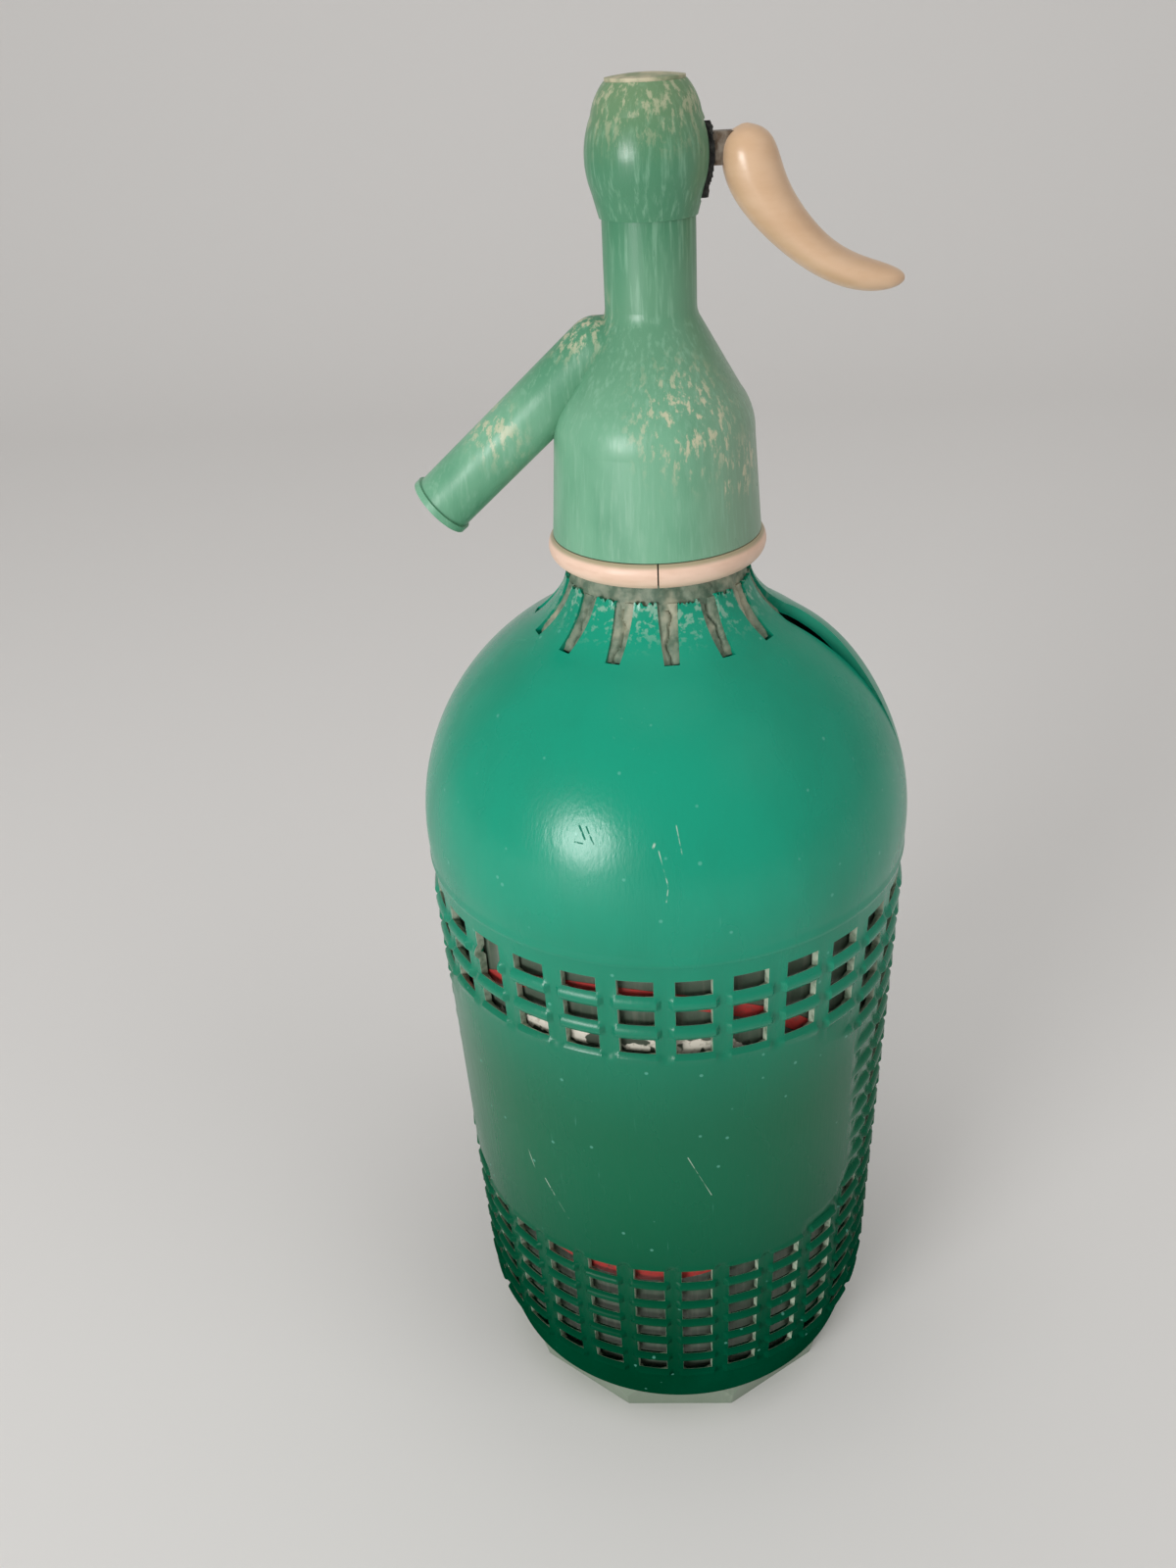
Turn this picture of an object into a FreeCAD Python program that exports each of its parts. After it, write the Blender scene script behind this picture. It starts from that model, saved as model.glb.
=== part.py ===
import FreeCAD, Part
import math
import os

# Soda siphon: a glass bottle in a moulded openwork jacket, with a moulded head,
# a spout towards -X and a hand lever towards +X. Sizes are in millimetres, the
# bottle's axis is Z and the table is z = 0.

# Bottle
glass_wall = 4.5
bottom_thickness = 9.0
bottom_corner = 6.0
base_radius = 42.8
base_edge = 1.5
rest_ring_width = 12.8
punt_rise = 5.0
punt_fullness = 0.75
facet_count = 10
facet_depth = 3.0
facet_height = 13.0
heel_start = 10.0
heel_height = 28.0
heel_radius = 45.9
heel_fullness = 0.66
dome_height_from_table = 153.5
dome_radius = 50.3
dome_rise = 48.8
dome_shoulder_share = 0.94
dome_upper_share = 0.80
dome_end_radius = 25.0
neck_radius = 13.6
neck_bore_radius = 9.0
neck_start_rise = 5.7
neck_flare_inset = 1.4
neck_flare_share = 0.28
neck_length = 21.0
bore_shoulder_width = 7.0
bore_flare_width = 1.6
bore_flare_rise = 3.4
bore_start_rise = 10.0
bead_radius = 15.8
bead_height = 6.0
bead_taper = 0.7
bead_edge = 1.2

# Jacket
jacket_gap = 0.3
cage_wall = 1.8
dome_wall = 2.4
jacket_foot_lip = 0.2
dome_step_drop = 7.0
dome_step_slope = 0.8
jacket_neck_radius = 17.0
jacket_neck_wall = 1.8
petal_bend_width_outside = 2.0
petal_bend_width_inside = 1.0
petal_bend_share = 0.27
petal_bend_rise_outside = 3.8
petal_bend_rise_inside = 4.6
petal_slot_count = 14
petal_slot_width = 3.0
petal_slot_reach = 26.0
petal_slot_azimuth = 4.9
long_slit_azimuth = 82.0
long_slit_reach = 46.0
long_slit_width = 3.6
column_count = 28
column_azimuth = -7.5
top_row_drop = 5.9
row_pitch = 7.5
row_pitch_shrink = 0.0875
rib_drop = 3.05
lowest_rib_rise = 10.0
window_width = 7.1
window_height = 3.7
rib_proud = 0.6
rib_width = 2.2
broken_rib_column = 25
broken_rib_row = 0
panel_azimuth = -13.9
panel_drop = 55.5
panel_half_width = 46.5
panel_half_height = 31.4
panel_corner = 14.0
panel_proud = 0.8

# Collar
collar_clearance = 0.3
collar_flange_radius = 21.9
collar_flange_drop = 17.2
collar_flange_thickness = 5.1
collar_edge = 1.9
collar_thread_radius = 18.2
collar_split_gap = 0.3
thread_pitch = 3.0
thread_proud = 0.5
thread_turns = 3
thread_start = 0.9
thread_half_share = 0.25
thread_root = 0.2

# Neck seal and dip tube
gasket_thickness = 2.5
gasket_outer_radius = 15.2
gasket_bore_gap = 0.4
bush_flange_radius = 14.8
bush_flange_thickness = 2.5
bush_length = 15.0
tube_radius = 3.5
tube_bore_radius = 2.4
tube_foot_gap = 4.0
fit_clearance = 0.05

# Head
head_gap = 0.2
bell_bottom_radius = 20.9
bell_shoulder_radius = 19.6
bell_straight = 19.0
bell_shoulder_inset = 0.7
bell_shoulder_lift = 0.3
bell_cavity_radius = 19.0
cone_bottom_radius = 16.8
cone_bottom_rise = 27.6
cone_top_radius = 9.4
cone_top_rise = 40.4
head_neck_radius = 8.6
head_neck_start_rise = 43.0
head_neck_bend_share = 0.25
chamber_radius = 6.2
bulb_base_radius = 9.0
bulb_low_radius = 10.2
bulb_low_rise = 4.4
bulb_radius = 11.2
bulb_widest_rise = 11.0
bulb_high_radius = 9.8
bulb_high_rise = 16.8
bulb_crown_radius = 8.9
bulb_crown_drop = 2.4
bulb_top_radius = 7.3
bulb_height = 22.0
bulb_cavity_radius = 7.6
bulb_floor_rise = 1.2
cap_radius = 6.5
cap_plug_length = 4.6
cap_rim_radius = 7.1
cap_rim_thickness = 1.2

# Spout
spout_radius = 6.2
spout_lip_radius = 6.7
spout_lip_length = 1.3
spout_rise_over_cup = 2.1
spout_elbow_reach = 10.4
spout_reach = 33.0
spout_drop = 29.6
liner_radius = 4.2
liner_bore_radius = 3.2
liner_recess = 0.8

# Valve
seat_radius = 8.0
seat_bore_radius = 2.6
seat_height = 9.0
seat_nose_radius = 3.9
seat_nose_height = 2.2
washer_radius = 4.3
washer_thickness = 2.8
cup_radius = 4.9
cup_thickness = 2.4
cup_lip = 1.2
washer_screw_head_radius = 1.7
washer_screw_head_height = 1.2
washer_screw_radius = 0.9
stem_radius = 1.5
stem_running_clearance = 0.05
retainer_radius = 3.4
retainer_thickness = 0.6
seal_gap = 0.3
seal_thickness = 2.3
seal_height_above_spout = 0.8
piston_radius = 5.8
piston_thickness = 1.4
spring_coil_radius = 4.7
spring_wire_radius = 0.45
spring_end_gap = 0.1
spring_turns = 5
spring_space = 10.5
guide_height = 5.4
guide_gap = 0.3
fork_radius = 3.9
fork_drop = 6.4
fork_rise = 3.2
fork_slot_drop = 4.4
fork_side_clearance = 0.15
drive_pin_radius = 1.2
drive_pin_recess = 0.3

# Lever
lever_axis_rise = 10.6
lever_pivot_x = 8.2
lever_pin_radius = 1.25
lever_pin_recess = 0.4
lever_pin_blind_wall = 1.6
lever_thickness = 3.0
lever_bar_height = 5.5
lever_bar_reach = 7.8
lever_tongue_height = 4.4
lever_tongue_shoulder = 3.2
lever_tongue_past_stem = 2.7
lever_tang_height = 3.2
lever_tang_length = 4.2
lever_slot_width = 5.0
lever_slot_drop = 8.6
lever_slot_rise = 4.9
drive_hole_clearance = 0.08
drive_hole_slip_out = 0.5
drive_hole_slip_in = 0.2
gaiter_inset = 1.2
gaiter_proud = 1.2
gaiter_side_gap = 0.3
gaiter_bar_gap = 1.3

# Handle sections: places past the bar's end and above the lever's axis, half
# thickness and half width
handle_sections = [
    (1.2, 3.7, 0.6, 0.6),
    (1.3, 3.0, 2.4, 2.6),
    (1.5, 1.2, 4.2, 4.4),
    (2.4, -2.6, 5.1, 5.3),
    (4.8, -7.9, 4.8, 5.6),
    (8.9, -13.2, 4.1, 5.6),
    (15.2, -18.8, 3.4, 5.4),
    (21.6, -22.0, 3.0, 5.0),
    (26.8, -23.1, 2.3, 3.9),
    (29.6, -23.3, 1.3, 2.3),
    (30.5, -23.3, 0.5, 0.9),
]

# Bottle and jacket places that follow from the sizes above
base_ring_inner_radius = base_radius - rest_ring_width
facet_flat_radius = base_radius - facet_depth
neck_start_height = dome_height_from_table + dome_rise + neck_start_rise
bottle_height = neck_start_height + neck_length
jacket_foot = heel_start - jacket_foot_lip
dome_step_height = dome_height_from_table - dome_step_drop
top_row_height = dome_step_height - top_row_drop
panel_height = dome_step_height - panel_drop

# Heights of the collar, seals and valve, each standing on the one before
collar_flange_bottom = bottle_height - collar_flange_drop
flange_top = collar_flange_bottom + collar_flange_thickness
head_bottom = flange_top + head_gap
bush_flange_bottom = bottle_height + gasket_thickness
head_ceiling = bush_flange_bottom + bush_flange_thickness
seat_top = head_ceiling + seat_height
washer_bottom = seat_top + seat_nose_height
cup_bottom = washer_bottom + washer_thickness
cup_top = cup_bottom + cup_thickness
spout_axis_height = cup_top + spout_rise_over_cup
passage_radius = liner_bore_radius
retainer_bottom = spout_axis_height + passage_radius + seal_height_above_spout
seal_bottom = retainer_bottom + retainer_thickness
piston_bottom = seal_bottom + seal_thickness
piston_top = piston_bottom + piston_thickness
guide_bottom = piston_top + spring_space
guide_top = guide_bottom + guide_height
cavity_floor = guide_top + guide_gap
bulb_base_height = cavity_floor - bulb_floor_rise
bulb_top = bulb_base_height + bulb_height
cavity_ceiling = bulb_top - cap_plug_length

# Lever places
lever_axis_height = bulb_base_height + lever_axis_rise
lever_bar_end = lever_pivot_x + lever_bar_reach
slot_bottom = lever_axis_height - lever_slot_drop
slot_top = lever_axis_height + lever_slot_rise
fork_bottom = lever_axis_height - fork_drop
pin_reach = math.sqrt(bulb_radius ** 2 - lever_pivot_x ** 2)

# A cutting shape runs this far past the face that it opens
cut_margin = 1.0

# The middle of a quarter round lies this share of its radius from each side
round_share = 1 - math.sqrt(0.5)

up = FreeCAD.Vector(0, 0, 1)
centre = FreeCAD.Vector(0, 0, 0)
spout_elbow = FreeCAD.Vector(-spout_elbow_reach, 0, spout_axis_height)
spout_run = FreeCAD.Vector(-spout_reach, 0, -spout_drop)
os.makedirs("parts", exist_ok=True)


def save(shape, name):
    """Write one piece under its own name."""
    shape.exportStep("parts/" + name + ".step")


def half_section(start, *runs):
    """Closed face in the XZ plane. A run holds its end, or a middle point and its end."""
    edges = []
    here = FreeCAD.Vector(start[0], 0, start[1])
    first = here
    for run in runs:
        points = [FreeCAD.Vector(r, 0, z) for r, z in run]
        if len(points) == 1:
            edges.append(Part.makeLine(here, points[0]))
        else:
            edges.append(Part.Arc(here, points[0], points[1]).toShape())
        here = points[-1]
    edges.append(Part.makeLine(here, first))
    return Part.Face(Part.Wire(edges))


def turned(start, *runs):
    """Solid of revolution about the bottle's axis."""
    return half_section(start, *runs).revolve(centre, up, 360)


def disc(radius, bottom, top):
    """Round bar on the bottle's axis."""
    return Part.makeCylinder(radius, top - bottom, FreeCAD.Vector(0, 0, bottom))


def ring(outer, inner, bottom, top):
    """Plain ring on the bottle's axis."""
    return disc(outer, bottom, top).cut(disc(inner, bottom - cut_margin, top + cut_margin))


def cross_bar(radius, x, height, y_from, y_to):
    """Round bar parallel to Y."""
    return Part.makeCylinder(radius, y_to - y_from, FreeCAD.Vector(x, y_from, height), FreeCAD.Vector(0, 1, 0))


def block(x_from, x_to, half_width, z_from, z_to):
    """Block that is symmetrical about the XZ plane."""
    corner = FreeCAD.Vector(x_from, -half_width, z_from)
    return Part.makeBox(x_to - x_from, 2 * half_width, z_to - z_from, corner)


def at_azimuth(shape, degrees):
    """Copy of a shape made towards -Y, turned to its place round the bottle."""
    copy = shape.copy()
    copy.rotate(centre, up, degrees)
    return copy


def dome_z(outside, radius):
    """Height of the dome, grown by a thickness, at a radius."""
    share = radius / (dome_radius + outside)
    return dome_height_from_table + (dome_rise + outside) * math.sqrt(1 - share * share)


def wall_radius(outside, height):
    """Radius of the tapering wall and of the rounded heel under it, grown by a thickness."""
    if height >= heel_height:
        share = (height - heel_height) / (dome_height_from_table - heel_height)
        return heel_radius + outside + share * (dome_radius - heel_radius)
    share = (height - heel_start) / (heel_height - heel_start)
    steep = 4 * heel_fullness - 1
    return base_radius + outside + (heel_radius - base_radius) * share * (steep + (1 - steep) * share)


def heel_middle(outside):
    """Point half way up the rounded heel."""
    height = (heel_start + heel_height) / 2
    return (wall_radius(outside, height), height)


def dome_arc(outside, end_radius):
    """Two runs of arc from the widest place to a radius near the neck."""
    first = (dome_radius + outside) * dome_shoulder_share
    second = (dome_radius + outside) * dome_upper_share
    third = (second + end_radius) / 2
    return [
        [(first, dome_z(outside, first)), (second, dome_z(outside, second))],
        [(third, dome_z(outside, third)), (end_radius, dome_z(outside, end_radius))],
    ]


def make_bottle_outside():
    """The bottle as if it were solid glass, with a hollow under its foot."""
    bead_bottom = bottle_height - bead_height
    dome_end = dome_z(0, dome_end_radius)
    flare = (neck_radius + dome_end_radius) / 2 - neck_flare_inset
    flare_z = dome_end + neck_flare_share * (neck_start_height - dome_end)
    foot_round = round_share * base_edge
    mouth_round = round_share * bead_edge
    punt_middle = (base_ring_inner_radius / 2, punt_rise * punt_fullness)
    runs = [
        [punt_middle, (base_ring_inner_radius, 0)],
        [(base_radius - base_edge, 0)],
        [(base_radius - foot_round, foot_round), (base_radius, base_edge)],
        [(base_radius, heel_start)],
        [heel_middle(0), (heel_radius, heel_height)],
        [(dome_radius, dome_height_from_table)],
    ]
    runs += dome_arc(0, dome_end_radius)
    runs += [
        [(flare, flare_z), (neck_radius, neck_start_height)],
        [(neck_radius, bead_bottom - bead_taper)],
        [(bead_radius, bead_bottom)],
        [(bead_radius, bottle_height - bead_edge)],
        [(bead_radius - mouth_round, bottle_height - mouth_round), (bead_radius - bead_edge, bottle_height)],
        [(0, bottle_height)],
    ]
    return turned((0, punt_rise), *runs)


def make_bottle_inside():
    """The room inside the glass, open at the mouth."""
    shoulder = neck_bore_radius + bore_shoulder_width
    shoulder_z = dome_z(-glass_wall, shoulder)
    wall = base_radius - glass_wall
    corner = round_share * bottom_corner
    flare = (neck_bore_radius + bore_flare_width, shoulder_z + bore_flare_rise)
    runs = [
        [(wall - bottom_corner, bottom_thickness)],
        [(wall - corner, bottom_thickness + corner), (wall, bottom_thickness + bottom_corner)],
        [(heel_radius - glass_wall, heel_height)],
        [(dome_radius - glass_wall, dome_height_from_table)],
    ]
    runs += dome_arc(-glass_wall, shoulder)
    runs += [
        [flare, (neck_bore_radius, shoulder_z + bore_start_rise)],
        [(neck_bore_radius, bottle_height + cut_margin)],
        [(0, bottle_height + cut_margin)],
    ]
    return turned((0, bottom_thickness), *runs)


def make_bottle():
    """Thick glass bottle with a faceted foot, a hollow bottom and a beaded mouth."""
    bottle = make_bottle_outside().cut(make_bottle_inside())
    lean = math.degrees(math.atan(facet_depth / facet_height))
    side = 2 * base_radius
    facets = []
    for number in range(facet_count):
        cutter = Part.makeBox(side, side, side, FreeCAD.Vector(-side / 2, -facet_flat_radius - side, -side / 2))
        cutter.rotate(FreeCAD.Vector(0, -facet_flat_radius, 0), FreeCAD.Vector(1, 0, 0), lean)
        facets.append(at_azimuth(cutter, 360.0 * number / facet_count))
    foot_top = facet_height + cut_margin
    foot = bottle.common(disc(2 * dome_radius, -cut_margin, foot_top))
    rest = bottle.common(disc(2 * dome_radius, foot_top, bottle_height + cut_margin))
    return foot.cut(facets).fuse(rest).removeSplitter()


def row_height(row):
    """Middle height of a row of windows; the pitch shrinks steadily downwards."""
    return top_row_height - row * row_pitch + row_pitch_shrink * row * (row - 1) / 2


def rib_height(row):
    """Middle height of the raised rib under a row of windows."""
    return row_height(row) - rib_drop


def rows_that_fit():
    """How many rows of windows the wall holds above its plain foot."""
    count = 1
    while rib_height(count) - rib_width / 2 > heel_start + lowest_rib_rise:
        count += 1
    return count


def in_panel(azimuth, height):
    """True where a window would fall on the plain panel."""
    turn = math.radians(azimuth - panel_azimuth)
    if math.cos(turn) < 0:
        return False
    over_x = max(0, abs(wall_radius(0, height) * math.sin(turn)) - panel_half_width + panel_corner)
    over_z = max(0, abs(height - panel_height) - panel_half_height + panel_corner)
    return math.hypot(over_x, over_z) < panel_corner + window_height / 2


def make_panel():
    """Plain raised panel with rounded corners that follows the jacket's wall."""
    low = panel_height - panel_half_height - cut_margin
    high = panel_height + panel_half_height + cut_margin
    inner = jacket_gap + cage_wall / 2
    outer = jacket_gap + cage_wall + panel_proud
    band = turned(
        (wall_radius(inner, low), low),
        [(wall_radius(outer, low), low)],
        [(wall_radius(outer, high), high)],
        [(wall_radius(inner, high), high)],
    )
    length = 2 * dome_radius
    corner = FreeCAD.Vector(-panel_half_width, -length, panel_height - panel_half_height)
    shape = Part.makeBox(2 * panel_half_width, length, 2 * panel_half_height, corner)
    corners = [edge for edge in shape.Edges if abs(edge.Vertexes[0].Y - edge.Vertexes[1].Y) > length / 2]
    shape = shape.makeFillet(panel_corner, corners)
    return band.common(at_azimuth(shape, panel_azimuth))


def make_jacket_wall():
    """The jacket before its openings: ribbed wall, step, shoulder and neck."""
    inner = jacket_gap
    outer = jacket_gap + cage_wall
    shoulder = jacket_gap + dome_wall
    outer_end = dome_end_radius + petal_bend_width_outside
    inner_end = dome_end_radius + petal_bend_width_inside
    neck_outer = jacket_neck_radius + jacket_neck_wall
    outer_bend = (neck_outer + petal_bend_share * (outer_end - neck_outer),
                  dome_z(shoulder, outer_end) + petal_bend_rise_outside)
    inner_bend = (jacket_neck_radius + petal_bend_share * (inner_end - jacket_neck_radius),
                  dome_z(inner, inner_end) + petal_bend_rise_inside)
    first_rib = rib_height(rows_that_fit() - 1) - rib_width / 2
    half_way = (heel_start + first_rib) / 2
    runs = [
        [(base_radius + outer, jacket_foot)],
        [(base_radius + outer, heel_start)],
        [(wall_radius(outer, half_way), half_way), (wall_radius(outer, first_rib), first_rib)],
    ]
    for row in reversed(range(rows_that_fit())):
        middle = rib_height(row)
        low = middle - rib_width / 2
        high = middle + rib_width / 2
        if low > first_rib:
            runs.append([(wall_radius(outer, low), low)])
        runs.append([(wall_radius(outer + rib_proud, middle), middle), (wall_radius(outer, high), high)])
    step_z = dome_step_height + dome_step_slope
    runs += [
        [(wall_radius(outer, dome_step_height), dome_step_height)],
        [(wall_radius(shoulder, step_z), step_z)],
        [(dome_radius + shoulder, dome_height_from_table)],
    ]
    runs += dome_arc(shoulder, outer_end)
    runs += [
        [outer_bend, (neck_outer, neck_start_height)],
        [(jacket_neck_radius, neck_start_height)],
        [inner_bend, (inner_end, dome_z(inner, inner_end))],
    ]
    back = dome_arc(inner, inner_end)
    runs += [
        [back[1][0], back[0][1]],
        [back[0][0], (dome_radius + inner, dome_height_from_table)],
        [(heel_radius + inner, heel_height)],
        [heel_middle(inner), (base_radius + inner, heel_start)],
    ]
    return turned((base_radius + inner, jacket_foot), *runs)


def make_window(azimuth, low, high):
    """Cutter for one opening of the cage, between two heights."""
    near = wall_radius(0, (low + high) / 2) - cut_margin
    depth = 3 * cage_wall
    corner = FreeCAD.Vector(-window_width / 2, -near - depth, low)
    return at_azimuth(Part.makeBox(window_width, depth, high - low, corner), azimuth)


def make_windows():
    """Cutters for the rows of windows, with one rib broken out between two of them."""
    cutters = []
    half = window_height / 2
    for column in range(column_count):
        azimuth = column_azimuth + 360.0 * column / column_count
        for row in range(rows_that_fit()):
            middle = row_height(row)
            if in_panel(azimuth, middle):
                continue
            low = middle - half
            if column == broken_rib_column and row == broken_rib_row:
                low = row_height(row + 1) - half
            cutters.append(make_window(azimuth, low, middle + half))
    return cutters


def make_shoulder_slots():
    """Radial slots that part the jacket's neck into petals, and one long slit."""
    bottom = dome_height_from_table
    tall = neck_start_height - bottom + cut_margin
    half = petal_slot_width / 2
    reach = petal_slot_reach - half
    slots = []
    for number in range(petal_slot_count):
        azimuth = petal_slot_azimuth + 360.0 * number / petal_slot_count
        slot = Part.makeBox(petal_slot_width, reach, tall, FreeCAD.Vector(-half, -reach, bottom))
        end = Part.makeCylinder(half, tall, FreeCAD.Vector(0, -reach, bottom))
        slots.append(at_azimuth(slot.fuse(end), azimuth))
    width = long_slit_width / 2
    outline = [(-width, 0), (-width, -petal_slot_reach), (0, -long_slit_reach), (width, -petal_slot_reach), (width, 0)]
    corners = [FreeCAD.Vector(x, y, bottom) for x, y in outline]
    corners.append(corners[0])
    slit = Part.Face(Part.makePolygon(corners)).extrude(FreeCAD.Vector(0, 0, tall))
    slots.append(at_azimuth(slit, long_slit_azimuth))
    return slots


def make_jacket():
    """Moulded jacket: slotted shoulder, ribbed cage with rows of windows and a plain panel."""
    wall = make_jacket_wall().fuse(make_panel())
    return wall.cut(make_windows()).cut(make_shoulder_slots())


def make_collar_half(side):
    """One half of the collar that grips the bottle's bead and carries the head's thread."""
    grip = neck_radius + collar_clearance
    pocket = bead_radius + collar_clearance
    pocket_bottom = bottle_height - bead_height - bead_taper - collar_clearance
    top = bottle_height - bead_edge
    rim = collar_flange_radius
    tooth = thread_half_share * thread_pitch
    runs = [
        [(rim - collar_edge, collar_flange_bottom)],
        [(rim, (collar_flange_bottom + flange_top) / 2), (rim - collar_edge / 2, flange_top)],
        [(collar_thread_radius, flange_top)],
    ]
    for turn in range(thread_turns):
        middle = flange_top + thread_pitch * (turn + thread_start)
        runs.append([(collar_thread_radius, middle - tooth)])
        runs.append([(collar_thread_radius + thread_proud, middle)])
        runs.append([(collar_thread_radius, middle + tooth)])
    runs += [
        [(collar_thread_radius, top)],
        [(pocket, top)],
        [(pocket, pocket_bottom + bead_taper)],
        [(grip, pocket_bottom)],
    ]
    whole = turned((grip, collar_flange_bottom), *runs)
    reach = rim + cut_margin
    keep = Part.makeBox(reach, 2 * reach, bottle_height, FreeCAD.Vector(collar_split_gap / 2, -reach, 0))
    half = whole.common(keep)
    if side < 0:
        half.rotate(centre, up, 180)
    return half


def spout_rod(radius, start_offset, end_offset):
    """Round bar along the sloping stretch of the spout, between two distances from the elbow."""
    heading = FreeCAD.Vector(spout_run).normalize()
    start = spout_elbow.add(heading * start_offset)
    return Part.makeCylinder(radius, end_offset - start_offset, start, heading)


def bulb_runs(outside):
    """Outline of the bulb from its base up to its flat top, grown by a thickness."""
    base = bulb_base_height
    flare = (bulb_low_radius + outside, base + bulb_low_rise)
    widest = (bulb_radius + outside, base + bulb_widest_rise)
    high = (bulb_high_radius + outside, base + bulb_high_rise)
    crown = (bulb_crown_radius + outside, bulb_top - bulb_crown_drop)
    return [
        [(bulb_base_radius + outside, base)],
        [flare],
        [widest, high],
        [crown, (bulb_top_radius + outside, bulb_top)],
    ]


def make_head_outside():
    """The head as if it were solid: bell, cone, neck and bulb, with the spout and its lip."""
    cone_low = head_bottom + cone_bottom_rise
    shoulder_z = head_bottom + bell_straight
    shoulder_middle = (bell_shoulder_radius - bell_shoulder_inset, (shoulder_z + cone_low) / 2 + bell_shoulder_lift)
    neck_start = head_bottom + head_neck_start_rise
    cone_high = head_bottom + cone_top_rise
    neck_bend = (head_neck_radius + head_neck_bend_share * (cone_top_radius - head_neck_radius),
                 (cone_high + neck_start) / 2)
    runs = [
        [(bell_bottom_radius, head_bottom)],
        [(bell_shoulder_radius, shoulder_z)],
        [shoulder_middle, (cone_bottom_radius, cone_low)],
        [(cone_top_radius, cone_high)],
        [neck_bend, (head_neck_radius, neck_start)],
        [(head_neck_radius, bulb_base_height)],
    ]
    runs += bulb_runs(0)
    runs += [[(0, bulb_top)]]
    head = turned((0, head_bottom), *runs)
    stub = Part.makeCylinder(spout_radius, spout_elbow_reach, spout_elbow, FreeCAD.Vector(1, 0, 0))
    ball = Part.makeSphere(spout_radius, spout_elbow)
    length = spout_run.Length
    lip = spout_rod(spout_lip_radius, length - spout_lip_length, length)
    return head.fuse([stub, ball, spout_rod(spout_radius, 0, length), lip])


def make_head_thread():
    """Rings that stand in from the bell's bore and lie between the collar's."""
    tooth = (thread_half_share * thread_pitch) - thread_root / 2
    crest = bell_cavity_radius - thread_proud
    root = bell_cavity_radius + thread_root
    rings = []
    for turn in range(thread_turns):
        middle = flange_top + thread_pitch * (turn + thread_start + 0.5)
        rings.append(turned(
            (root, middle - tooth),
            [(bell_cavity_radius, middle - tooth)],
            [(crest, middle)],
            [(bell_cavity_radius, middle + tooth)],
            [(root, middle + tooth)],
        ))
    return rings


def make_head():
    """Moulded head: bell, neck and bulb in one piece with the spout."""
    length = spout_run.Length
    passage = Part.makeCylinder(passage_radius, spout_elbow_reach, spout_elbow, FreeCAD.Vector(1, 0, 0))
    pin_hole = cross_bar(lever_pin_radius + fit_clearance, lever_pivot_x, lever_axis_height,
                         lever_pin_blind_wall - pin_reach - fit_clearance, bulb_radius)
    lever_slot = block(bulb_cavity_radius - 2 * cut_margin, bulb_radius + cut_margin, lever_slot_width / 2,
                       slot_bottom, slot_top)
    hollows = [
        disc(bell_cavity_radius, head_bottom - cut_margin, head_ceiling),
        disc(seat_radius + fit_clearance, head_ceiling - cut_margin, seat_top),
        disc(chamber_radius, seat_top - cut_margin, cavity_floor + cut_margin),
        disc(bulb_cavity_radius, cavity_floor, cavity_ceiling),
        disc(cap_radius + fit_clearance, cavity_ceiling - cut_margin, bulb_top + cut_margin),
        passage,
        Part.makeSphere(passage_radius, spout_elbow),
        spout_rod(liner_radius + fit_clearance, liner_radius, length + cut_margin),
        spout_rod(passage_radius, 0, length),
        lever_slot,
        pin_hole,
    ]
    return make_head_outside().cut(hollows).fuse(make_head_thread())


def make_gaiter():
    """Rubber dust seal in the lever's slot, with a hole round the bar."""
    base = bulb_base_height
    half = lever_slot_width / 2 - gaiter_side_gap
    beyond = bulb_radius + gaiter_proud + cut_margin
    outer = turned((0, base), *(bulb_runs(gaiter_proud) + [[(0, bulb_top)]]))
    inner = turned((0, base), *(bulb_runs(-gaiter_inset) + [[(0, bulb_top)]]))
    band = block(bulb_cavity_radius, beyond, half, slot_bottom + gaiter_side_gap, slot_top - gaiter_side_gap)
    bar = lever_bar_height / 2
    hole = block(bulb_cavity_radius - cut_margin, beyond, lever_thickness / 2 + gaiter_side_gap,
                 lever_axis_height - bar - gaiter_bar_gap, lever_axis_height + bar + gaiter_side_gap)
    return outer.common(band).cut([inner, hole])


def make_spout_liner():
    """Straight tube that lines the sloping stretch of the spout."""
    start = liner_radius
    end = spout_run.Length - liner_recess
    return spout_rod(liner_radius, start, end).cut(spout_rod(liner_bore_radius, start - cut_margin, end + cut_margin))


def make_seat():
    """Threaded seat insert with a raised nose for the washer."""
    nose = disc(seat_nose_radius, seat_top - cut_margin, washer_bottom)
    body = disc(seat_radius, head_ceiling, seat_top).fuse(nose)
    return body.cut(disc(seat_bore_radius, head_ceiling - cut_margin, washer_bottom + cut_margin))


def make_bush():
    """Flanged bush that seals the bottle's mouth and holds the dip tube."""
    foot = bush_flange_bottom - bush_length
    plug = disc(neck_bore_radius - collar_clearance, foot, bush_flange_bottom + cut_margin)
    flange = disc(bush_flange_radius, bush_flange_bottom, head_ceiling)
    return plug.fuse(flange).cut(disc(tube_radius + fit_clearance, foot - cut_margin, head_ceiling + cut_margin))


def make_stem():
    """Valve stem with its piston flange and a fork for the lever's tongue."""
    top = lever_axis_height + fork_rise
    beyond = fork_radius + cut_margin
    rod = disc(stem_radius, cup_top, fork_bottom + cut_margin)
    flange = disc(piston_radius, piston_bottom, piston_top)
    fork = disc(fork_radius, fork_bottom, top)
    slot = block(-beyond, beyond, lever_thickness / 2 + fork_side_clearance, lever_axis_height - fork_slot_drop,
                 top + cut_margin)
    hole = cross_bar(drive_pin_radius + fit_clearance, 0, lever_axis_height, -beyond, beyond)
    return rod.fuse([flange, fork]).cut([slot, hole])


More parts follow.
